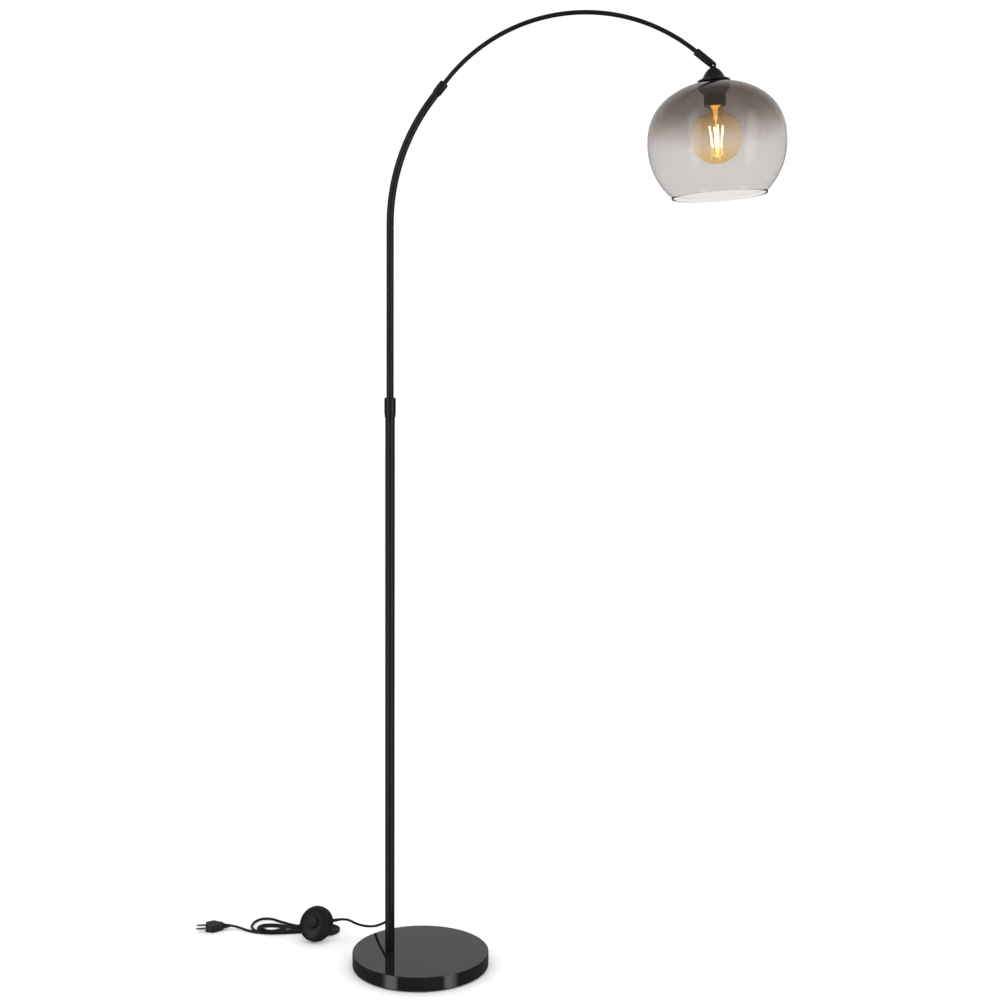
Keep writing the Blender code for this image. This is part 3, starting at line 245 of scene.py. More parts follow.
fit(spare_cord, flex, "base", "black_rubber", "cord_link", "cord_hank", "cord_tail")


# Tie: a flat soft strap pulled round the waist of the hank, drawn as a closed band.
TIE_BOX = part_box("hank_tie")
TIE_SIZE = (0.0050, 0.0400, 0.0078)
TIE_THICK = 0.0012
bpy.ops.mesh.primitive_cube_add(size=1.0, location=(TIE_BOX[0] + TIE_BOX[1]) / 2)
hank_band = bpy.context.object
hank_band.name = "hank_band"
hank_band.scale = TIE_SIZE
bpy.ops.object.transform_apply(location=True, rotation=True, scale=True)
bpy.ops.object.mode_set(mode="EDIT")
bpy.ops.mesh.select_mode(type="FACE")
bpy.ops.mesh.select_all(action="DESELECT")
bpy.ops.object.mode_set(mode="OBJECT")
for face in hank_band.data.polygons:
    face.select = abs(face.normal.x) > 0.9
bpy.ops.object.mode_set(mode="EDIT")
bpy.ops.mesh.inset(thickness=TIE_THICK)
bpy.ops.mesh.bridge_edge_loops()
bpy.ops.mesh.select_all(action="SELECT")
bpy.ops.mesh.normals_make_consistent(inside=False)
bpy.ops.object.mode_set(mode="OBJECT")


def soften(piece, width, segments=3, angle=40.0):
    """Rounds a piece's sharp edges and shades the rest smooth."""
    bpy.ops.object.select_all(action="DESELECT")
    piece.select_set(True)
    bpy.context.view_layer.objects.active = piece
    if width:
        bevel = piece.modifiers.new("soft", "BEVEL")
        bevel.width = width
        bevel.segments = segments
        bevel.limit_method = "ANGLE"
        bevel.angle_limit = math.radians(angle)
        bpy.ops.object.modifier_apply(modifier=bevel.name)
    bpy.ops.object.shade_smooth_by_angle(angle=math.radians(angle))
    bpy.ops.object.select_all(action="DESELECT")
    return piece


soften(hank_band, 0.0004)
strap = Finish("tie_strap", (0.016, 0.016, 0.017), 0.6)
strap.feed("Base Color", strap.place.noise(200.0).mixed(tone(0.012), tone(0.022)))
strap.bump(strap.place.noise(2200.0), 0.0001, 0.4)
fit(hank_band, strap, "base", "black_rubber", "hank_tie")


# Foot: a polished disc of black marble with a few thin pale veins, bevelled round both edges,
# with a stud hole under its middle. It stands on a thin felt pad.
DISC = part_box("marble_base")
DISC_R = (DISC[1].x - DISC[0].x) / 2
DISC_THICK = DISC[1].z - DISC[0].z


def turned(name, outline, place, sides=96):
    """A turned piece. Its (radius, height) outline is drawn out from one corner and spun round its Z axis."""
    bpy.ops.object.select_all(action="DESELECT")
    bpy.ops.mesh.primitive_plane_add(size=0.001)
    piece = bpy.context.object
    piece.name = name
    bpy.ops.object.mode_set(mode="EDIT")
    bpy.ops.mesh.select_mode(type="VERT")
    bpy.ops.mesh.select_all(action="SELECT")
    bpy.ops.mesh.merge(type="CENTER")
    bpy.ops.transform.translate(value=(outline[0][0], 0.0, outline[0][1]))
    for before, after in zip(outline, outline[1:]):
        step = (after[0] - before[0], 0.0, after[1] - before[1])
        bpy.ops.mesh.extrude_region_move(TRANSFORM_OT_translate={"value": step})
    bpy.ops.mesh.select_all(action="SELECT")
    bpy.ops.mesh.spin(steps=sides, angle=2 * math.pi, center=(0, 0, 0), axis=(0, 0, 1))
    bpy.ops.mesh.select_all(action="SELECT")
    bpy.ops.mesh.remove_doubles(threshold=1e-6)
    bpy.ops.mesh.normals_make_consistent(inside=False)
    bpy.ops.object.mode_set(mode="OBJECT")
    piece.data.transform(place)
    return piece


DISC_EDGE = 0.0012
WELL_R = 0.016
WELL_DEPTH = 0.012
edge_mid = DISC_EDGE * 0.3
edge_flat = DISC_EDGE * 1.4
disc_outline = [(0.0, DISC_THICK), (DISC_R * 0.5, DISC_THICK), (DISC_R - edge_flat, DISC_THICK)]
disc_outline += [(DISC_R - DISC_EDGE, DISC_THICK), (DISC_R - edge_mid, DISC_THICK - edge_mid)]
disc_outline += [(DISC_R, DISC_THICK - DISC_EDGE), (DISC_R, DISC_THICK - edge_flat), (DISC_R, edge_flat)]
disc_outline += [(DISC_R, DISC_EDGE), (DISC_R - edge_mid, edge_mid), (DISC_R - DISC_EDGE, 0.0)]
disc_outline += [(DISC_R - edge_flat, 0.0), (WELL_R, 0.0), (WELL_R, WELL_DEPTH), (0.0, WELL_DEPTH)]
disc_place = Matrix.Translation((0.0, 0.0, DISC[0].z))
marble_disc = turned("marble_disc", disc_outline, disc_place, 160)
soften(marble_disc, 0.0)

marble = Finish("black_marble", (0.012, 0.011, 0.011), 0.07, Coat_Weight=0.35, Coat_Roughness=0.03)
swirl = marble.place.node("ShaderNodeTexNoise", {"Vector": marble.place, "Scale": 9.0, "Detail": 4.0}, out=1)
wander = marble.place.node("ShaderNodeVectorMath", {0: swirl, 1: (0.09,) * 3}, operation="MULTIPLY")
warped = marble.place.node("ShaderNodeVectorMath", {0: marble.place, 1: wander}, operation="ADD")
cells = marble.place.node(
    "ShaderNodeTexVoronoi", {"Vector": warped, "Scale": 8.0}, feature="DISTANCE_TO_EDGE"
)
hair = cells.span(0.0, 0.009, 1.0, 0.0)
patches = marble.place.noise(14.0, 3.0).span(0.58, 0.74)
cloud = marble.place.noise(22.0, 6.0, 0.65).span(0.35, 0.75)
speck = marble.place.noise(420.0, 2.0).span(0.62, 0.74)
stone = cloud.mixed((0.0070, 0.0064, 0.0062, 1.0), (0.0125, 0.0112, 0.0108, 1.0))
veined = (hair * patches * 0.22 + speck * cloud * 0.03).mixed(stone, (0.42, 0.40, 0.38, 1.0))
marble.feed("Base Color", veined)
marble.feed("Roughness", (hair * patches).span(0.0, 1.0, 0.06, 0.16))
fit(marble_disc, marble, "base", "marble", "marble_base")

felt = Finish("foot_felt", (0.02, 0.02, 0.02), 0.95)
felt.feed("Base Color", felt.place.noise(900.0, 3.0).mixed(tone(0.012), tone(0.035)))
felt.bump(felt.place.noise(1500.0, 3.0), 0.0004, 0.7)


# Mast: two round steel tubes in satin black powder coat, the thin one sliding in the thick one.
# The upper tube is bent over at its end on a roller bender.
paint = Finish("satin_black", (0.008, 0.008, 0.0082), 0.36, Specular_IOR_Level=0.5)
paint.feed("Base Color", paint.place.noise(40.0, 2.0).mixed(tone(0.0055), tone(0.0085, 0.99)))
paint.feed("Roughness", paint.place.noise(260.0, 2.0).span(0.3, 0.7, 0.31, 0.41))
paint.bump(paint.place.noise(2600.0, 2.0), 0.00008, 0.3)

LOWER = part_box("lower_tube")
POLE_X = (LOWER[0].x + LOWER[1].x) / 2
LOWER_R = (LOWER[1].x - LOWER[0].x) / 2
LOWER_WALL = 0.001
MIDDLE_R = 0.00675
MIDDLE_WALL = 0.001
BEND_START = 1.4012
BEND_R = 0.3732
BEND_TURN = math.radians(38.28)
BEND_TAIL = 0.0200
pole = Matrix.Translation((POLE_X, 0.0, 0.0))
lower_outline = [(LOWER_R, LOWER[0].z), (LOWER_R, LOWER[1].z), (LOWER_R - LOWER_WALL, LOWER[1].z)]
lower_outline += [(LOWER_R - LOWER_WALL, LOWER[0].z), (LOWER_R, LOWER[0].z)]
lower_pole = soften(turned("lower_pole", lower_outline, pole, 64), 0.0003)
fit(lower_pole, paint, "base", "black_paint", "lower_tube")


def walled(piece, thickness):
    """Gives a shell its wall, inwards from its outer face."""
    piece.select_set(True)
    bpy.context.view_layer.objects.active = piece
    shell = piece.modifiers.new("wall", "SOLIDIFY")
    shell.thickness = thickness
    shell.offset = -1.0
    bpy.ops.object.modifier_apply(modifier=shell.name)


def bent_tube(name, radius, wall, runs, place, sides=48):
    """A tube drawn up from a circle: straight runs are extruded, and bends are spun round their centres."""
    bpy.ops.object.select_all(action="DESELECT")
    bpy.ops.mesh.primitive_circle_add(vertices=sides, radius=radius)
    piece = bpy.context.object
    piece.name = name
    bpy.ops.object.mode_set(mode="EDIT")
    bpy.ops.mesh.select_mode(type="EDGE")
    bpy.ops.mesh.select_all(action="SELECT")
    tip, lean = Vector((0.0, 0.0, 0.0)), 0.0
    for straight, bend, turn, steps in runs:
        ahead = Vector((math.sin(lean), 0.0, math.cos(lean)))
        bpy.ops.mesh.extrude_region_move(TRANSFORM_OT_translate={"value": ahead * straight})
        tip += ahead * straight
        if turn:
            centre = tip + Vector((math.cos(lean), 0.0, -math.sin(lean))) * bend
            bpy.ops.mesh.spin(steps=steps, angle=-turn, center=centre, axis=(0, 1, 0))
            lean += turn
            tip = centre - Vector((math.cos(lean), 0.0, -math.sin(lean))) * bend
    bpy.ops.mesh.select_all(action="SELECT")
    bpy.ops.mesh.remove_doubles(threshold=1e-6)
    bpy.ops.mesh.normals_make_consistent(inside=False)
    bpy.ops.object.mode_set(mode="OBJECT")
    walled(piece, wall)
    piece.data.transform(place)
    return piece


MAST_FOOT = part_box("middle_tube")[0].z
mast_runs = ((BEND_START - MAST_FOOT, BEND_R, BEND_TURN, 40), (BEND_TAIL, 0.0, 0.0, 0))
mast_place = Matrix.Translation((POLE_X, 0.0, MAST_FOOT))
mast_tube = soften(bent_tube("mast_tube", MIDDLE_R, MIDDLE_WALL, mast_runs, mast_place), 0.0, angle=50.0)
fit(mast_tube, paint, "mast", "black_paint", "middle_tube")


# Arch: the thinnest tube, bent through almost a right angle, which turns in the end of the upper tube.
ARCH_R = 0.00415
ARCH_WALL = 0.0008
ARCH_LAP = 0.026
ARCH_RISE = 0.0160
ARCH_BEND = 0.3244
ARCH_TURN = math.radians(89.45)
SLEEVE_LAP = 0.024
bend_x = POLE_X + BEND_R * (1 - math.cos(BEND_TURN))
bend_z = BEND_START + BEND_R * math.sin(BEND_TURN)
elbow = Matrix.Translation((bend_x, 0.0, bend_z)) @ Matrix.Rotation(BEND_TURN, 4, "Y")
arch_runs = ((ARCH_LAP + ARCH_RISE, ARCH_BEND, ARCH_TURN, 72), (SLEEVE_LAP, 0.0, 0.0, 0))
arch_foot = elbow @ Matrix.Translation((0.0, 0.0, BEND_TAIL - ARCH_LAP))
arch_pole = soften(bent_tube("arch_pole", ARCH_R, ARCH_WALL, arch_runs, arch_foot, 40), 0.0, angle=50.0)
fit(arch_pole, paint, "arch", "black_paint", "arch_tube")


# Twist collars: turned steel, powder coated with the tubes. Each has a rounded shoulder over the thin tube
# and a long taper down onto the end of the thick one.
def collar(name, thick_r, thin_r, joint, length, lap, taper, place):
    low, high = joint - lap, joint - lap + length
    outer = thick_r + 0.0017
    mouth = thin_r + 0.0003
    crown = mouth + 0.0010
    outline = [(mouth, high), (crown, high)]
    for i in range(1, 8):
        angle = math.pi / 2 * i / 7
        outline.append((crown + (outer - crown) * math.sin(angle), high - 0.003 * (1 - math.cos(angle))))
    for i in range(1, 6):
        share = i / 5
        sink = (1 - math.cos(math.pi * share)) / 2
        outline.append((outer - (outer - thick_r - 0.0009) * sink, low + taper * (1 - share)))
    outline += [(thick_r + 0.0003, low), (thick_r + 0.0003, joint), (mouth + 0.0015, joint)]
    outline += [(mouth + 0.0015, high - 0.0025), (mouth, high - 0.0025), (mouth, high)]
    return soften(turned(name, outline, place, 64), 0.0)


height_collar = collar("height_collar", LOWER_R, MIDDLE_R, LOWER[1].z, 0.037, 0.018, 0.0125, pole)
fit(height_collar, paint, "height_lock", "black_paint", "height_lock_collar")
arch_collar = collar("arch_collar", MIDDLE_R, ARCH_R, BEND_TAIL, 0.026, 0.015, 0.007, elbow)
fit(arch_collar, paint, "arch_lock", "black_paint", "arch_lock_collar")


# Grommet: a ribbed rubber sleeve in the back of the pole that keeps the lead off the edge of its hole.
grommet_axis = Matrix.Translation((POLE_X, 0.0, GLAND_TIP[2])) @ Matrix.Rotation(-math.pi / 2, 4, "X")
grommet_outline = [(0.0027, 0.0070), (0.0037, 0.0070), (0.0037, 0.0093), (0.0053, 0.0093), (0.0053, 0.0108)]
for i in range(5):
    here = 0.0116 + 0.0024 * i
    grommet_outline += [(0.0037 - 0.00018 * i, here), (0.0035 - 0.00018 * i, here + 0.0006)]
    grommet_outline += [(0.0035 - 0.00018 * i, here + 0.0014), (0.0037 - 0.00018 * i, here + 0.0018)]
grommet_outline += [(0.0028, 0.0236), (0.0027, 0.0236), (0.0027, 0.0070)]
cord_grommet = soften(turned("cord_grommet", grommet_outline, grommet_axis, 40), 0.00015, 2)
fit(cord_grommet, flex, "base", "black_rubber", "cord_gland")


# Head frame: the pivot and lean of the head, from the joint that tilts it.
tilt = next(joint for joint in frame["joints"] if joint["name"] == "head_tilt")
HEAD_LEAN = math.radians(-4.0)
PIVOT = Vector(tilt["pos_m"])
head = Matrix.Translation(PIVOT) @ Matrix.Rotation(HEAD_LEAN, 4, "Y")


def hung(name, outline, sides=96):
    """A turned piece of the head, from (radius, depth below the pivot)."""
    return turned(name, [(radius, -depth) for radius, depth in outline], head, sides)


# Bell cap: spun steel, powder coated, with a small flat top, a full shoulder and a flared flange
# that hides the hole in the glass.
cap_curve = ((0.0051, 0.0071), (0.0090, 0.0071), (0.0101, 0.0076), (0.0117, 0.0092), (0.0140, 0.0119))
cap_curve += ((0.0160, 0.0146), (0.0180, 0.0180), (0.0197, 0.0211), (0.0214, 0.0232), (0.0240, 0.0248))
cap_curve += ((0.0272, 0.0256), (0.0290, 0.0264), (0.0298, 0.0276), (0.0300, 0.0295))
cap_inside = [(radius - 0.0009, depth + 0.0006) for radius, depth in cap_curve[:0:-1]]
cap_inside[0] = (0.0291, 0.0295)
bell_cap = hung("bell_cap", [*cap_curve, *cap_inside, (0.0051, 0.0081), cap_curve[0]])
soften(bell_cap, 0.0, angle=55.0)
fit(bell_cap, paint, "head", "black_paint", "shade_cap")


# Shade: a blown globe of clear glass, smoked on the inside from the shoulder down to the bulb's middle,
# cut open below and left with a short straight lip.
SHADE_R = 0.1265
SHADE_HOLE = 0.0210
SHADE_BELLY = 0.1400
SHADE_RISE = 0.1110
FULLNESS = 2.4
NECK_R = 0.0920
LIP_R = 0.0876
LIP = 0.0090
GLASS_WALL = 0.0018
first = math.acos((SHADE_HOLE / SHADE_R) ** (FULLNESS / 2))
shade_outline = []
for i in range(41):
    across = SHADE_R * math.cos(first * (1 - i / 40) ** 0.8) ** (2 / FULLNESS)
    rise = SHADE_RISE * (1 - (across / SHADE_R) ** 2) ** (1 / FULLNESS)
    shade_outline.append((across, SHADE_BELLY - rise))
last = math.acos(NECK_R / SHADE_R)
for i in range(1, 25):
    angle = last * i / 24
    shade_outline.append((SHADE_R * math.cos(angle), SHADE_BELLY + SHADE_R * math.sin(angle)))
neck = shade_outline[-1][1]
for share, inset in ((0.12, 0.45), (0.25, 0.72), (0.40, 0.93), (0.55, 1.0), (1.0, 1.0)):
    shade_outline.append((NECK_R - (NECK_R - LIP_R) * inset, neck + LIP * share))
smoke_globe = hung("smoke_globe", shade_outline, 160)
walled(smoke_globe, GLASS_WALL)
soften(smoke_globe, 0.0005, 2, 60.0)


def see_through(finish, stand_in):
    """Lets lamps shine through a glass finish, by a plain clear shader for their rays."""
    clear = finish.tree.nodes.new("ShaderNodeBsdfTransparent")
    clear.inputs["Color"].default_value = (*stand_in, 1.0)
    rays = finish.tree.nodes.new("ShaderNodeLightPath")
    choose = finish.tree.nodes.new("ShaderNodeMixShader")
    finish.tree.links.new(rays.outputs["Is Shadow Ray"], choose.inputs[0])
    finish.tree.links.new(finish.shader.outputs[0], choose.inputs[1])
    finish.tree.links.new(clear.outputs[0], choose.inputs[2])
    finish.tree.links.new(choose.outputs[0], finish.tree.nodes["Material Output"].inputs["Surface"])


def below_pivot(finish):
    """How far each point of a finish lies below the pivot, along the leaning head."""
    lean = {"Vector": finish.place, "Location": PIVOT, "Rotation": (0.0, HEAD_LEAN, 0.0)}
    upright = finish.place.node("ShaderNodeMapping", lean, vector_type="TEXTURE")
    return 0.0 - upright.node("ShaderNodeSeparateXYZ", {"Vector": upright}, out=2)


smoke = Finish("smoked_glass", (0.8, 0.8, 0.8), 0.015, Transmission_Weight=1.0, IOR=1.45)
drift = smoke.place.noise(18.0, 2.0).span(0.3, 0.7, -0.004, 0.004)
depth = (below_pivot(smoke) + drift).span(0.03, 0.18)
smoke_stops = [(0.0, (0.300, 0.262, 0.245)), (1.0, (0.800, 0.775, 0.765)), (0.21, (0.326, 0.282, 0.263))]
smoke_stops += [(0.32, (0.374, 0.333, 0.300)), (0.43, (0.440, 0.400, 0.370)), (0.55, (0.577, 0.537, 0.512))]
smoke_stops += [(0.66, (0.728, 0.700, 0.690)), (0.77, (0.767, 0.737, 0.742))]
tint = depth.node("ShaderNodeValToRGB", {"Fac": depth}, stops=smoke_stops)
smoke.feed("Base Color", tint)
see_through(smoke, (0.80, 0.78, 0.77))
fit(smoke_globe, smoke, "head", "smoked_glass", "glass_shade")


# Lamp holder: a moulded black skirt through the hole of the glass and the ring that is screwed up it
# against the shade, with a ribbed grip round its band.
moulded = Finish("moulded_black", (0.008, 0.008, 0.0082), 0.44, Specular_IOR_Level=0.45)
moulded.feed("Base Color", moulded.place.noise(80.0).mixed(tone(0.006), tone(0.0095)))
moulded.feed("Roughness", moulded.place.noise(500.0).span(0.3, 0.7, 0.39, 0.50))
moulded.bump(moulded.place.noise(3000.0, 3.0), 0.0001, 0.35)

SKIRT_R = 0.01975
skirt_high = 0.0312
skirt_low = 0.0728
skirt = [(0.0178, skirt_high), (SKIRT_R, skirt_high)]
for i in range(14):
    here = skirt_high + 0.0020 + 0.0018 * i
    skirt += [(SKIRT_R, here), (SKIRT_R - 0.0004, here + 0.0005), (SKIRT_R - 0.0004, here + 0.0009)]
    skirt += [(SKIRT_R, here + 0.0014)]
skirt += [(SKIRT_R, skirt_low - 0.0010), (SKIRT_R - 0.0008, skirt_low), (0.0150, skirt_low)]
skirt += [(0.0150, skirt_low - 0.0020), (0.0178, skirt_low - 0.0020), (0.0178, skirt_high)]
holder_skirt = soften(hung("holder_skirt", skirt, 64), 0.0)
fit(holder_skirt, moulded, "head", "black_plastic", "holder_lower")

ring_high = 0.0336
ring_outline = [(0.0201, ring_high), (0.0277, ring_high), (0.0285, ring_high + 0.0008)]
ring_outline += [(0.0285, ring_high + 0.0082), (0.0277, ring_high + 0.0090), (0.0211, ring_high + 0.0180)]
ring_outline += [(0.0201, ring_high + 0.0180), (0.0201, ring_high)]
clamp_ring = soften(hung("clamp_ring", ring_outline, 96), 0.0004, 2)
fit(clamp_ring, moulded, "head", "black_plastic", "shade_ring")


# Bulb: a large amber globe with a nickelled screw cap, a clear glass mount and four straight filament rods
# that lean in towards the bottom, lit from within. The globe and the mount carry a painted glow, and the globe
# also has a paler painted glare band round its middle.
BULB_R = 0.0475
BULB_MID = 0.1305
BULB_WALL = 0.0008
NECK_FLARE_R = 0.0205
CAP_R = 0.0132
meet = math.asin(NECK_FLARE_R / BULB_R)
neck_low = BULB_MID - BULB_R * math.cos(meet)
bulb_outline = [(0.0124, 0.0675), (0.0124, 0.0745), (0.0130, 0.0772), (0.0142, neck_low - 0.0095)]
bulb_outline += [(0.0152, neck_low - 0.0070), (0.0166, neck_low - 0.0048), (0.0184, neck_low - 0.0024)]
for i in range(49):
    angle = meet + (math.pi - meet) * i / 48
    bulb_outline.append((BULB_R * math.sin(angle), BULB_MID - BULB_R * math.cos(angle)))
globe_bulb = hung("globe_bulb", bulb_outline, 128)
walled(globe_bulb, BULB_WALL)
soften(globe_bulb, 0.0, angle=60.0)
amber = Finish("amber_glass", (0.9, 0.6, 0.25), 0.02, Transmission_Weight=1.0, IOR=1.3)
# Painted light: the globe's emission is a painted glow below its neck, and its paler colour round the middle is
# a painted glare band.
amber.shader.inputs["Emission Strength"].default_value = 0.035
down = below_pivot(amber)
from_middle = down.node("ShaderNodeMath", {0: down - BULB_MID}, operation="ABSOLUTE")
outside_painted_glare = from_middle.span(0.006, 0.040)
amber.feed("Base Color", outside_painted_glare.mixed((0.985, 0.93, 0.84, 1.0), (0.96, 0.80, 0.50, 1.0)))
below_neck = down.span(0.084, 0.100)
painted_glow_colour = outside_painted_glare.mixed((0.95, 0.72, 0.34, 1.0), (0.95, 0.55, 0.16, 1.0))
amber.feed("Emission Color", below_neck.mixed((0.10, 0.06, 0.03, 1.0), painted_glow_colour))
see_through(amber, (0.95, 0.85, 0.65))
fit(globe_bulb, amber, "head", "amber_glass", "bulb_glass")

nickel = Finish("nickelled_cap", (0.62, 0.60, 0.57), 0.28, Metallic=1.0)
nickel.feed("Roughness", nickel.place.noise(350.0).span(0.3, 0.7, 0.22, 0.38))
thread = [(0.0095, 0.0500), (0.0112, 0.0506), (0.0124, 0.0518)]
for i in range(5):
    here = 0.0528 + 0.0036 * i
    thread += [(0.0124, here), (CAP_R, here + 0.0009), (CAP_R, here + 0.0018), (0.0124, here + 0.0027)]
thread += [(0.0126, 0.0718), (0.0131, 0.0722), (0.0131, 0.0735), (0.0126, 0.0735)]
thread += [(0.0119, 0.0718), (0.0119, 0.0524), (0.0095, 0.0508), (0.0095, 0.0500)]
bulb_collar = soften(hung("bulb_collar", thread, 64), 0.0003, 2)
fit(bulb_collar, nickel, "head", "steel", "bulb_screw_cap")

FILAMENT_TOP = 0.1090
FILAMENT_LENGTH = 0.0390
SPREAD = 0.0125
CLOSE = 0.0080
TWIST = math.radians(6)
ROD_R = 0.0012
glow = Finish("hot_filament", (1.0, 0.72, 0.30), 0.5, Emission_Strength=9.0)
pulse = glow.place.noise(120.0)
glow.feed("Emission Color", pulse.mixed((1.0, 0.66, 0.22, 1.0), (1.0, 0.82, 0.42, 1.0)))
lean_in = math.asin((SPREAD - CLOSE) / FILAMENT_LENGTH)
rod = [(0.0, 0.0), (ROD_R * 0.6, -0.0002), (ROD_R, -0.0009)]
rod += [(ROD_R, 0.0009 - FILAMENT_LENGTH), (ROD_R * 0.6, 0.0002 - FILAMENT_LENGTH), (0.0, -FILAMENT_LENGTH)]
for i in range(4):
    round_stem = Matrix.Rotation(math.pi / 2 * i + TWIST, 4, "Z")
    stand = round_stem @ Matrix.Translation((SPREAD, 0, -FILAMENT_TOP)) @ Matrix.Rotation(lean_in, 4, "Y")
    lit = soften(turned(f"glow_rod_{i + 1}", rod, head @ stand, 20), 0.0)
    fit(lit, glow, "head", "filament", f"filament_{i + 1}")

clear = Finish("mount_glass_painted_glow", (0.96, 0.94, 0.90), 0.02, Transmission_Weight=1.0, IOR=1.3)
# The mount's warm emission is a painted glow that stands in for the filaments' light on its glass.
clear.shader.inputs["Emission Strength"].default_value = 0.7
clear.feed("Roughness", clear.place.noise(90.0).span(0.3, 0.7, 0.01, 0.05))
clear.feed("Emission Color", clear.place.noise(90.0).mixed((1.0, 0.50, 0.14, 1.0), (1.0, 0.62, 0.22, 1.0)))
see_through(clear, (0.95, 0.93, 0.90))
stem_low = FILAMENT_TOP - 0.0120
stem_outline = [(0.0, 0.0685), (0.0110, 0.0685), (0.0110, 0.0708), (0.0075, 0.0745), (0.0050, 0.0785)]
stem_outline += [(0.0042, 0.0830), (0.0036, 0.0900), (0.0034, stem_low), (0.0016, stem_low + 0.0016)]
stem_outline += [(0.0009, stem_low + 0.0030), (0.0009, 0.1510), (0.0, 0.1510)]
glass_mount = soften(hung("glass_mount", stem_outline, 40), 0.0)
fit(glass_mount, clear, "head", "clear_glass", "bulb_stem")


# Support wires: fine wires welded to the lower ends of the rods, which hold them to the mount.
# Their glow is painted, dimmer than the rods', and stands in for the rods' light falling on them.
WIRE_D = 0.0006
painted_wire_glow = Finish("painted_wire_glow", (1.0, 0.66, 0.25), 0.4, Emission_Strength=2.6)
cooler = painted_wire_glow.place.noise(90.0)
painted_wire_glow.feed("Emission Color", cooler.mixed((1.0, 0.55, 0.14, 1.0), (1.0, 0.72, 0.30, 1.0)))
wire_low = FILAMENT_TOP + FILAMENT_LENGTH
stations = [(CLOSE, wire_low - 0.0030), (CLOSE - 0.0004, wire_low + 0.0060), (CLOSE - 0.0020, wire_low + 0.0140)]
stations += [(CLOSE - 0.0050, wire_low + 0.0160), (0.0006, wire_low + 0.0030)]
for i in range(4):
    turn = Matrix.Rotation(math.pi / 2 * i + TWIST, 4, "Z")
    curve = bpy.data.curves.new(f"hold_wire_{i + 1}", "CURVE")
    curve.dimensions = "3D"
    curve.bevel_depth = WIRE_D / 2
    curve.bevel_resolution = 2
    curve.use_fill_caps = True
    spline = curve.splines.new("BEZIER")
    spline.bezier_points.add(len(stations) - 1)
    for knot, (across, down) in zip(spline.bezier_points, stations):
        knot.co = head @ turn @ Vector((across, 0.0, -down))
        knot.handle_left_type = knot.handle_right_type = "AUTO"
    hold_wire = bpy.data.objects.new(f"hold_wire_{i + 1}", curve)
    bpy.context.scene.collection.objects.link(hold_wire)
    fit(hold_wire, painted_wire_glow, "head", "filament")


# Tip sleeve: a turned steel sleeve pinned over the arch tube's end, its far end milled into a fork.
# A hollow rivet through the fork carries the hanger that the head swings on.
SLEEVE_R = 0.0070
SLEEVE_LENGTH = 0.0365
PIVOT_REACH = 0.0407
EYE_R = 0.0053
FORK_THICK = 0.0116
SLOT = 0.0052
SLOT_FROM = 0.0345
SLEEVE_EDGE = 0.0025
SLEEVE_BORE_R = 0.00445
EYE_BORE_R = 0.0033
arch_lean = BEND_TURN + ARCH_TURN
along_tip = Vector((math.sin(arch_lean), 0.0, math.cos(arch_lean)))
tip_frame = Matrix.Translation(PIVOT - along_tip * PIVOT_REACH) @ Matrix.Rotation(arch_lean, 4, "Y")
tube_stop = SLEEVE_LAP + 0.0003
sleeve_outline = [(0.0, tube_stop), (SLEEVE_BORE_R, tube_stop), (SLEEVE_BORE_R, 0.0)]
for i in range(7):
    angle = math.pi / 2 * i / 6
    sleeve_outline.append((SLEEVE_R - SLEEVE_EDGE * (1 - math.sin(angle)), SLEEVE_EDGE * (1 - math.cos(angle))))
for i in range(7):
    angle = math.pi / 2 * i / 6
    far = SLEEVE_LENGTH - SLEEVE_EDGE * (1 - math.sin(angle))
    sleeve_outline.append((SLEEVE_R - SLEEVE_EDGE * (1 - math.cos(angle)), far))
sleeve_outline.append((0.0, SLEEVE_LENGTH))
tip_sleeve = turned("tip_sleeve", sleeve_outline, Matrix(), 64)


def slab(name, thick, near, reach, half, rounded, place):
    """A flat bar across Y from near to reach along Z, half wide, with a round end if asked."""
    bpy.ops.object.select_all(action="DESELECT")
    bpy.ops.mesh.primitive_plane_add(size=1.0, rotation=(math.pi / 2, 0.0, 0.0))
    piece = bpy.context.object
    piece.name = name
    piece.scale = (2 * half, reach - near, 1.0)
    piece.location = (0.0, thick / 2, (near + reach) / 2)
    bpy.ops.object.transform_apply(location=True, rotation=True, scale=True)
    bpy.ops.object.mode_set(mode="EDIT")
    bpy.ops.mesh.select_all(action="SELECT")
    bpy.ops.mesh.extrude_region_move(TRANSFORM_OT_translate={"value": (0.0, -thick, 0.0)})
    bpy.ops.mesh.select_all(action="SELECT")
    bpy.ops.mesh.normals_make_consistent(inside=False)
    bpy.ops.object.mode_set(mode="OBJECT")
    if rounded:
        for vertex in piece.data.vertices:
            vertex.select = False
        for edge in piece.data.edges:
            ends = [piece.data.vertices[i].co for i in edge.vertices]
            edge.select = min(end.z for end in ends) > reach - 1e-6 and abs(ends[0].x - ends[1].x) < 1e-6
        for face in piece.data.polygons:
            face.select = False
        bpy.ops.object.mode_set(mode="EDIT")
        bpy.ops.mesh.select_mode(use_extend=False, use_expand=False, type="EDGE")
        bpy.ops.mesh.bevel(offset=half * 0.999, segments=12)
        bpy.ops.object.mode_set(mode="OBJECT")
    piece.data.transform(place)
    return piece


def cylinder(name, radius, low, high, place, sides=40):
    """A plain pin or drill that shapes another piece."""
    bpy.ops.object.select_all(action="DESELECT")
    middle = (0.0, 0.0, (low + high) / 2)
    bpy.ops.mesh.primitive_cylinder_add(vertices=sides, radius=radius, depth=high - low, location=middle)
    piece = bpy.context.object
    piece.name = name
    bpy.ops.object.transform_apply(location=True, rotation=True, scale=True)
    piece.data.transform(place)
    return piece


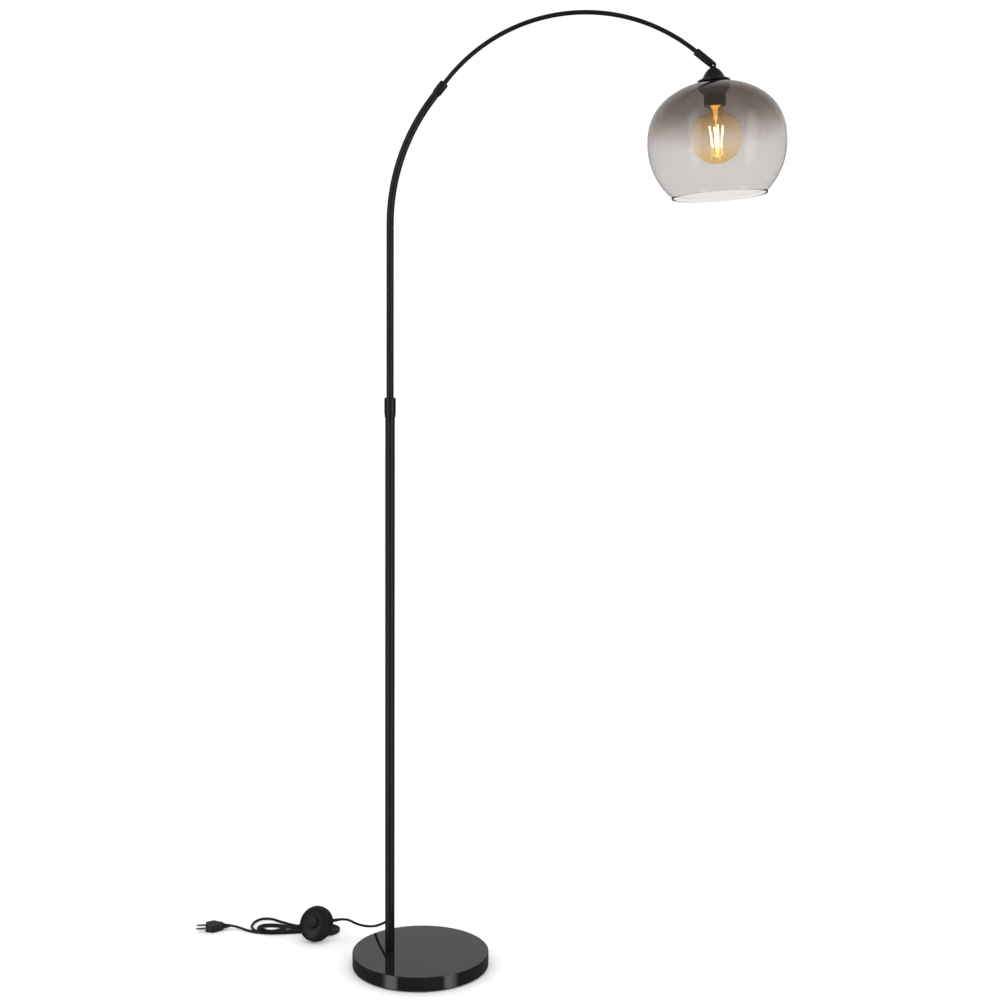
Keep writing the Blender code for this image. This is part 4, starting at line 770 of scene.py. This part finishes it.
def shaped(piece, tool, operation):
    """Joins a tool to a piece, or cuts it away, and removes the tool."""
    bpy.ops.object.select_all(action="DESELECT")
    piece.select_set(True)
    bpy.context.view_layer.objects.active = piece
    cut = piece.modifiers.new("shape", "BOOLEAN")
    cut.operation = operation
    cut.object = tool
    cut.solver = "EXACT"
    bpy.ops.object.modifier_apply(modifier=cut.name)
    bpy.data.objects.remove(tool, do_unlink=True)


across_pin = Matrix.Rotation(math.pi / 2, 4, "X")
at_pivot = Matrix.Translation((0.0, 0.0, PIVOT_REACH))
cheeks = slab("cheeks", FORK_THICK, SLEEVE_LAP + 0.004, PIVOT_REACH + EYE_R, EYE_R, True, Matrix())
shaped(tip_sleeve, cheeks, "UNION")
shaped(tip_sleeve, slab("slit", SLOT, SLOT_FROM, 0.060, 0.020, False, Matrix()), "DIFFERENCE")
shaped(tip_sleeve, cylinder("drill", EYE_BORE_R, -0.02, 0.02, at_pivot @ across_pin), "DIFFERENCE")
screw_way = Matrix.Translation((0.0, 0.0, SLEEVE_LAP / 2)) @ Matrix.Rotation(math.pi / 2, 4, "Y")
shaped(tip_sleeve, cylinder("screw_drill", 0.0018, 0.002, 0.02, screw_way, 24), "DIFFERENCE")
tip_sleeve.data.transform(tip_frame)
soften(tip_sleeve, 0.0002, 2, 45.0)
fit(tip_sleeve, paint, "arch", "black_paint", "end_sleeve")

rivet = [(0.0030, -0.0061), (0.0040, -0.0061), (0.0040, -0.0067), (0.0036, -0.0069), (0.0023, -0.0067)]
rivet += [(0.0023, 0.0067), (0.0036, 0.0069), (0.0040, 0.0067), (0.0040, 0.0061), (0.0030, 0.0061)]
rivet.append(rivet[0])
pivot_rivet = soften(turned("pivot_rivet", rivet, tip_frame @ at_pivot @ across_pin, 48), 0.0001, 2)
fit(pivot_rivet, paint, "arch", "black_paint", "pivot_eyelet")

hanger_outline = [(0.0029, 0.0056), (0.0071, 0.0056), (0.0075, 0.0059), (0.0075, 0.0065), (0.0071, 0.0068)]
hanger_outline += [(0.0048, 0.0068), (0.0048, 0.0201), (0.0029, 0.0201), (0.0029, 0.0056)]
hanger = turned("hanger", [(radius, -down) for radius, down in hanger_outline], Matrix(), 48)
TONGUE_THICK = 0.0046
tongue_reach = EYE_R - 0.0001
tongue = slab("tongue", TONGUE_THICK, -0.0062, tongue_reach, tongue_reach, True, Matrix())
shaped(hanger, tongue, "UNION")
shaped(hanger, cylinder("eye", EYE_BORE_R, -0.02, 0.02, across_pin), "DIFFERENCE")
hanger.data.transform(head)
soften(hanger, 0.00015, 2, 45.0)
fit(hanger, paint, "head", "black_paint", "swivel_link")


# Foot switch: a round moulded housing that stands on its rim and leans back, with a domed cover,
# a large round button and a tapered rubber boot on each side where the lead goes in.
SWITCH_R = 0.0350
SWITCH_RIM = 0.0095
SWITCH_DOME = 0.0200
BUTTON_R = 0.0115
BUTTON_PROUD = 0.0055
SWITCH_AT = (-0.2137, 0.1263, 0.0306)
heading = Matrix.Rotation(-math.radians(21), 4, "Z")
lean_back = Matrix.Rotation(math.pi / 2 - math.radians(30), 4, "X")
roll = Matrix.Rotation(math.radians(16), 4, "Z")
stand = Matrix.Translation(SWITCH_AT) @ heading @ lean_back @ roll
dome_outline = [(SWITCH_R - 0.0020, 0.0), (SWITCH_R, 0.0), (SWITCH_R, 0.0030), (SWITCH_R - 0.0004, 0.0034)]
dome_outline += [(SWITCH_R - 0.0004, 0.0040), (SWITCH_R, 0.0044), (SWITCH_R, 0.0062)]
brow = SWITCH_R - 0.0020
lip = BUTTON_R + 0.0019
for i in range(1, 5):
    angle = math.pi / 2 * i / 4
    dome_outline.append((brow + 0.0020 * math.cos(angle), 0.0062 + 0.0033 * math.sin(angle)))
for i in range(1, 25):
    angle = math.pi / 2 * i / 24
    up = SWITCH_RIM + (SWITCH_DOME - SWITCH_RIM) * math.sin(angle)
    dome_outline.append((lip + (brow - lip) * math.cos(angle), up))
dome_outline += [(BUTTON_R + 0.0011, SWITCH_DOME), (BUTTON_R + 0.0003, SWITCH_DOME - 0.0010)]
dome_outline += [(BUTTON_R + 0.0003, SWITCH_DOME - 0.0020), (0.0240, 0.0150), (SWITCH_R - 0.0020, 0.0070)]
dome_outline.append((SWITCH_R - 0.0020, 0.0))
switch_dome = soften(turned("switch_dome", dome_outline, stand, 96), 0.0)
fit(switch_dome, moulded, "base", "black_plastic", "switch_cover")

KNOB_EDGE = 0.0030
knob_top = SWITCH_DOME + BUTTON_PROUD
knob = [(0.0, knob_top - 0.0006), (BUTTON_R * 0.55, knob_top - 0.0004), (BUTTON_R * 0.75, knob_top)]
for i in range(1, 9):
    angle = math.pi / 2 * i / 8
    out = BUTTON_R * 0.75 + BUTTON_R * 0.25 * math.sin(angle)
    knob.append((out, knob_top - KNOB_EDGE * (1 - math.cos(angle))))
knob += [(BUTTON_R, SWITCH_DOME - 0.0024), (BUTTON_R + 0.0012, SWITCH_DOME - 0.0024)]
knob += [(BUTTON_R + 0.0012, SWITCH_DOME - 0.0060), (0.0, SWITCH_DOME - 0.0060)]
switch_knob = soften(turned("switch_knob", knob, stand, 72), 0.0)
fit(switch_knob, moulded, "foot_button", "black_plastic", "switch_button")

RELIEF_R = 0.0035
RELIEF_TIP_R = 0.0027
RELIEF_LENGTH = 0.0200
LEAD_HEIGHT = 0.0080
lead_line = Matrix.Translation((0.0, 0.0, LEAD_HEIGHT)) @ Matrix.Rotation(math.pi / 2, 4, "Y")
boot_outline = [(0.0, SWITCH_R - 0.006), (RELIEF_R, SWITCH_R - 0.006), (RELIEF_R, SWITCH_R + 0.0010)]
for i in range(6):
    here = SWITCH_R + 0.0016 + 0.0030 * i
    thin = RELIEF_R - (RELIEF_R - RELIEF_TIP_R) * (i + 0.5) / 6
    boot_outline += [(thin, here), (thin - 0.0004, here + 0.0004)]
    boot_outline += [(thin - 0.0004, here + 0.0011), (thin, here + 0.0015)]
boot_outline += [(RELIEF_TIP_R, SWITCH_R + RELIEF_LENGTH), (0.0, SWITCH_R + RELIEF_LENGTH)]
other_side = Matrix.Rotation(math.pi, 4, "X")
switch_boot_in = soften(turned("switch_boot_in", boot_outline, stand @ lead_line, 40), 0.0)
fit(switch_boot_in, flex, "base", "black_rubber", "switch_relief_in")
switch_boot_out = soften(turned("switch_boot_out", boot_outline, stand @ lead_line @ other_side, 40), 0.0)
fit(switch_boot_out, flex, "base", "black_rubber", "switch_relief_out")


# Plug: a flat moulded two-pin plug lying on the floor, waisted for the fingers, with a ribbed boot
# and round nickelled steel pins.
PLUG_AT = Vector((-0.4450, 0.1685, 0.0076))
PLUG_LENGTH = 0.0350
PLUG_THICK = 0.0140
PIN_PITCH = 0.0186
PIN_R = 0.0020
PIN_STEEL_R = PIN_R - 0.00015
rest = Matrix.Translation(PLUG_AT) @ Matrix.Rotation(math.pi + math.radians(8), 4, "Z")
half_side = [(0.0, 0.0118), (-0.0040, 0.0130), (-0.0075, 0.0140), (-0.0112, 0.0168), (-0.0140, 0.0175)]
half_side += [(-0.0172, 0.0172), (-0.0215, 0.0140), (-0.0262, 0.0106), (-0.0310, 0.0078), (-0.0350, 0.0060)]
plug_outline = half_side + [(x, -y) for x, y in half_side[::-1]]
bpy.ops.object.select_all(action="DESELECT")
bpy.ops.mesh.primitive_plane_add(size=0.001)
plug_shell = bpy.context.object
plug_shell.name = "plug_shell"
bpy.ops.object.mode_set(mode="EDIT")
bpy.ops.mesh.select_mode(type="VERT")
bpy.ops.mesh.select_all(action="SELECT")
bpy.ops.mesh.merge(type="CENTER")
bpy.ops.transform.translate(value=(*plug_outline[0], -PLUG_THICK / 2))
for before, after in zip(plug_outline, [*plug_outline[1:], plug_outline[0]]):
    step = (after[0] - before[0], after[1] - before[1], 0.0)
    bpy.ops.mesh.extrude_region_move(TRANSFORM_OT_translate={"value": step})
bpy.ops.mesh.select_all(action="SELECT")
bpy.ops.mesh.remove_doubles(threshold=1e-6)
bpy.ops.mesh.edge_face_add()
bpy.ops.mesh.extrude_region_move(TRANSFORM_OT_translate={"value": (0.0, 0.0, PLUG_THICK)})
bpy.ops.mesh.inset(thickness=0.0032)
bpy.ops.transform.translate(value=(0.0, 0.0, -0.0006))
bpy.ops.mesh.select_all(action="SELECT")
bpy.ops.mesh.normals_make_consistent(inside=False)
bpy.ops.object.mode_set(mode="OBJECT")
plug_shell.data.transform(rest)
soften(plug_shell, 0.0018, 4, 50.0)
fit(plug_shell, moulded, "base", "black_plastic", "plug_body")

plug_run = Matrix.Rotation(math.pi / 2, 4, "Y")
BOOT_LENGTH = 0.0155
boot = [(0.0, -0.0003), (0.0058, -0.0003)]
for i in range(4):
    here = 0.0012 + 0.0034 * i
    thin = 0.0057 - 0.0007 * i
    boot += [(thin, -here), (thin - 0.0009, -here - 0.0005)]
    boot += [(thin - 0.0009, -here - 0.0013), (thin - 0.0002, -here - 0.0018)]
boot += [(0.0028, -BOOT_LENGTH), (0.0, -BOOT_LENGTH)]
back = rest @ Matrix.Translation((-PLUG_LENGTH, 0.0, 0.0)) @ plug_run
plug_boot = soften(turned("plug_boot", boot[::-1], back, 40), 0.0003, 2)
fit(plug_boot, moulded, "base", "black_rubber", "plug_relief")

steel = Finish("pin_steel", (0.64, 0.63, 0.61), 0.25, Metallic=1.0)
steel.feed("Roughness", steel.place.noise(300.0).span(0.3, 0.7, 0.18, 0.34))
for name, side, node in (("prong_left", -1, "plug_pin_left"), ("prong_right", 1, "plug_pin_right")):
    pin = [(0.0, 0.0003), (PIN_R, 0.0003), (PIN_R, 0.0100), (PIN_STEEL_R, 0.0101)]
    for i in range(7):
        angle = math.pi / 2 * i / 6
        pin.append((PIN_STEEL_R * math.cos(angle), 0.0170 + 0.0020 * math.sin(angle)))
    at = rest @ Matrix.Translation((0.0, side * PIN_PITCH / 2, 0.0)) @ plug_run
    prong = soften(turned(name, pin, at, 32), 0.0)
    fit(prong, steel, "base", "steel", node)


# Inner fittings: the stud, nut and washer under the foot, bushes and collets in the tubes, contacts in the
# holder and switch, and the lead inside. They keep their shapes and get their own finishes.
brass = Finish("contact_brass", (0.72, 0.52, 0.22), 0.3, Metallic=1.0)
brass.feed("Roughness", brass.place.noise(300.0).span(0.3, 0.7, 0.24, 0.40))
ceramic = Finish("white_ceramic", (0.80, 0.78, 0.73), 0.3)
ceramic.feed("Base Color", ceramic.place.noise(120.0).mixed((0.76, 0.74, 0.69, 1.0), (0.83, 0.81, 0.77, 1.0)))
nylon = Finish("white_nylon", (0.74, 0.74, 0.72), 0.42)
nylon.feed("Base Color", nylon.place.noise(200.0).mixed((0.70, 0.70, 0.68, 1.0), (0.78, 0.78, 0.76, 1.0)))
inner_fittings = (
    (felt, ("base_pad",)),
    (steel, ("base_washer", "base_nut", "threaded_stud", "tube_foot_plug", "cap_nut", "switch_screw")),
    (steel, ("switch_spring", "sleeve_set_screw")),
    (moulded, ("height_collet", "height_guide_bush", "arch_collet", "arch_tail_bush", "holder_upper")),
    (moulded, ("bulb_insulator", "switch_base")),
    (flex, ("inner_lead_elbow", "inner_lead_lower", "inner_lead_middle")),
    (flex, ("inner_lead_arch", "inner_lead_head")),
    (brass, ("centre_contact", "screw_shell", "bulb_contact")),
    (ceramic, ("contact_insert",)),
    (nylon, ("switch_contacts",)),
)
for finish, names in inner_fittings:
    for name in names:
        node = frame["nodes"][name]
        node.data.materials.clear()
        node.data.materials.append(finish.material)


# Studio: a pale floor that runs off into a white surround, which mirrors dimly but for two tall patches in
# front, that stand as stripes on the tubes, and a low band behind, that the polished foot shows. Three broad
# soft boxes shade the lamp, and its own warm light burns in the bulb.
bpy.ops.object.select_all(action="DESELECT")
bpy.ops.mesh.primitive_plane_add(size=40.0, location=(0.0, 0.0, -0.0002))
floor = bpy.context.object
floor.name = "studio_floor"
paper = Finish("pale_floor", (0.95, 0.95, 0.95), 0.9, Specular_IOR_Level=0.0)
paper.feed("Base Color", paper.place.noise(3.0).mixed((0.93, 0.93, 0.93, 1.0), (0.96, 0.96, 0.96, 1.0)))
floor.data.materials.append(paper.material)
floor.visible_glossy = False

world = bpy.data.worlds.new("studio")
bpy.context.scene.world = world
world.use_nodes = True
tree = world.node_tree
surround = tree.nodes["Background"]
around = Feed(tree, tree.nodes.new("ShaderNodeTexCoord").outputs["Generated"])
paths = tree.nodes.new("ShaderNodeLightPath")
through = Feed(tree, paths.outputs["Is Transmission Ray"])
rays = Feed(tree, paths.outputs["Is Glossy Ray"]) * (1.0 - through)
upward = around.node("ShaderNodeSeparateXYZ", {"Vector": around}, out=2)
sideways = around.node("ShaderNodeSeparateXYZ", {"Vector": around}, out=0)
backward = around.node("ShaderNodeSeparateXYZ", {"Vector": around}, out=1)
in_front = (0.0 - backward).span(0.30, 0.55)
left_patch = sideways.span(-0.84, -0.76) * sideways.span(-0.60, -0.52, 1.0, 0.0) * in_front
right_patch = sideways.span(0.60, 0.68) * sideways.span(0.82, 0.90, 1.0, 0.0) * in_front
behind = backward.span(0.4, 0.7) * upward.span(0.12, 0.25)
dim = upward.span(0.0, 0.95, 0.08, 0.10) + (left_patch + right_patch) * 1.7 + behind * 0.34
level = rays * dim + (1.0 - rays) * 1.06
tree.links.new(level.socket, surround.inputs["Strength"])
surround.inputs["Color"].default_value = (1.0, 1.0, 1.0, 1.0)


def soft_box(name, place, target, width, height, watts, colour=(1.0, 1.0, 1.0)):
    data = bpy.data.lights.new(name, "AREA")
    data.shape = "RECTANGLE"
    data.size, data.size_y = width, height
    data.energy = watts
    data.color = colour
    lamp = bpy.data.objects.new(name, data)
    bpy.context.scene.collection.objects.link(lamp)
    lamp.location = place
    lamp.rotation_euler = (Vector(target) - Vector(place)).to_track_quat("-Z", "Y").to_euler()
    lamp.visible_glossy = False
    return lamp


soft_box("left_box", (-2.1, -1.7, 1.6), (0.0, 0.0, 1.0), 1.6, 2.4, 6.0)
soft_box("right_box", (2.2, -1.3, 1.6), (0.0, 0.0, 1.0), 1.6, 2.4, 5.0)
soft_box("top_box", (0.2, -0.6, 3.4), (0.1, 0.0, 0.8), 2.6, 2.6, 14.0)
bulb_light = bpy.data.lights.new("bulb_glow", "POINT")
bulb_light.energy = 0.12
bulb_light.color = (1.0, 0.66, 0.30)
bulb_light.shadow_soft_size = 0.02
bulb_glow = bpy.data.objects.new("bulb_glow", bulb_light)
bpy.context.scene.collection.objects.link(bulb_glow)
bulb_glow.location = head @ Vector((0.0, 0.0, -0.128))
bulb_glow.parent = frame["bodies"]["head"]
bulb_glow.visible_camera = bulb_glow.visible_glossy = bulb_glow.visible_transmission = False
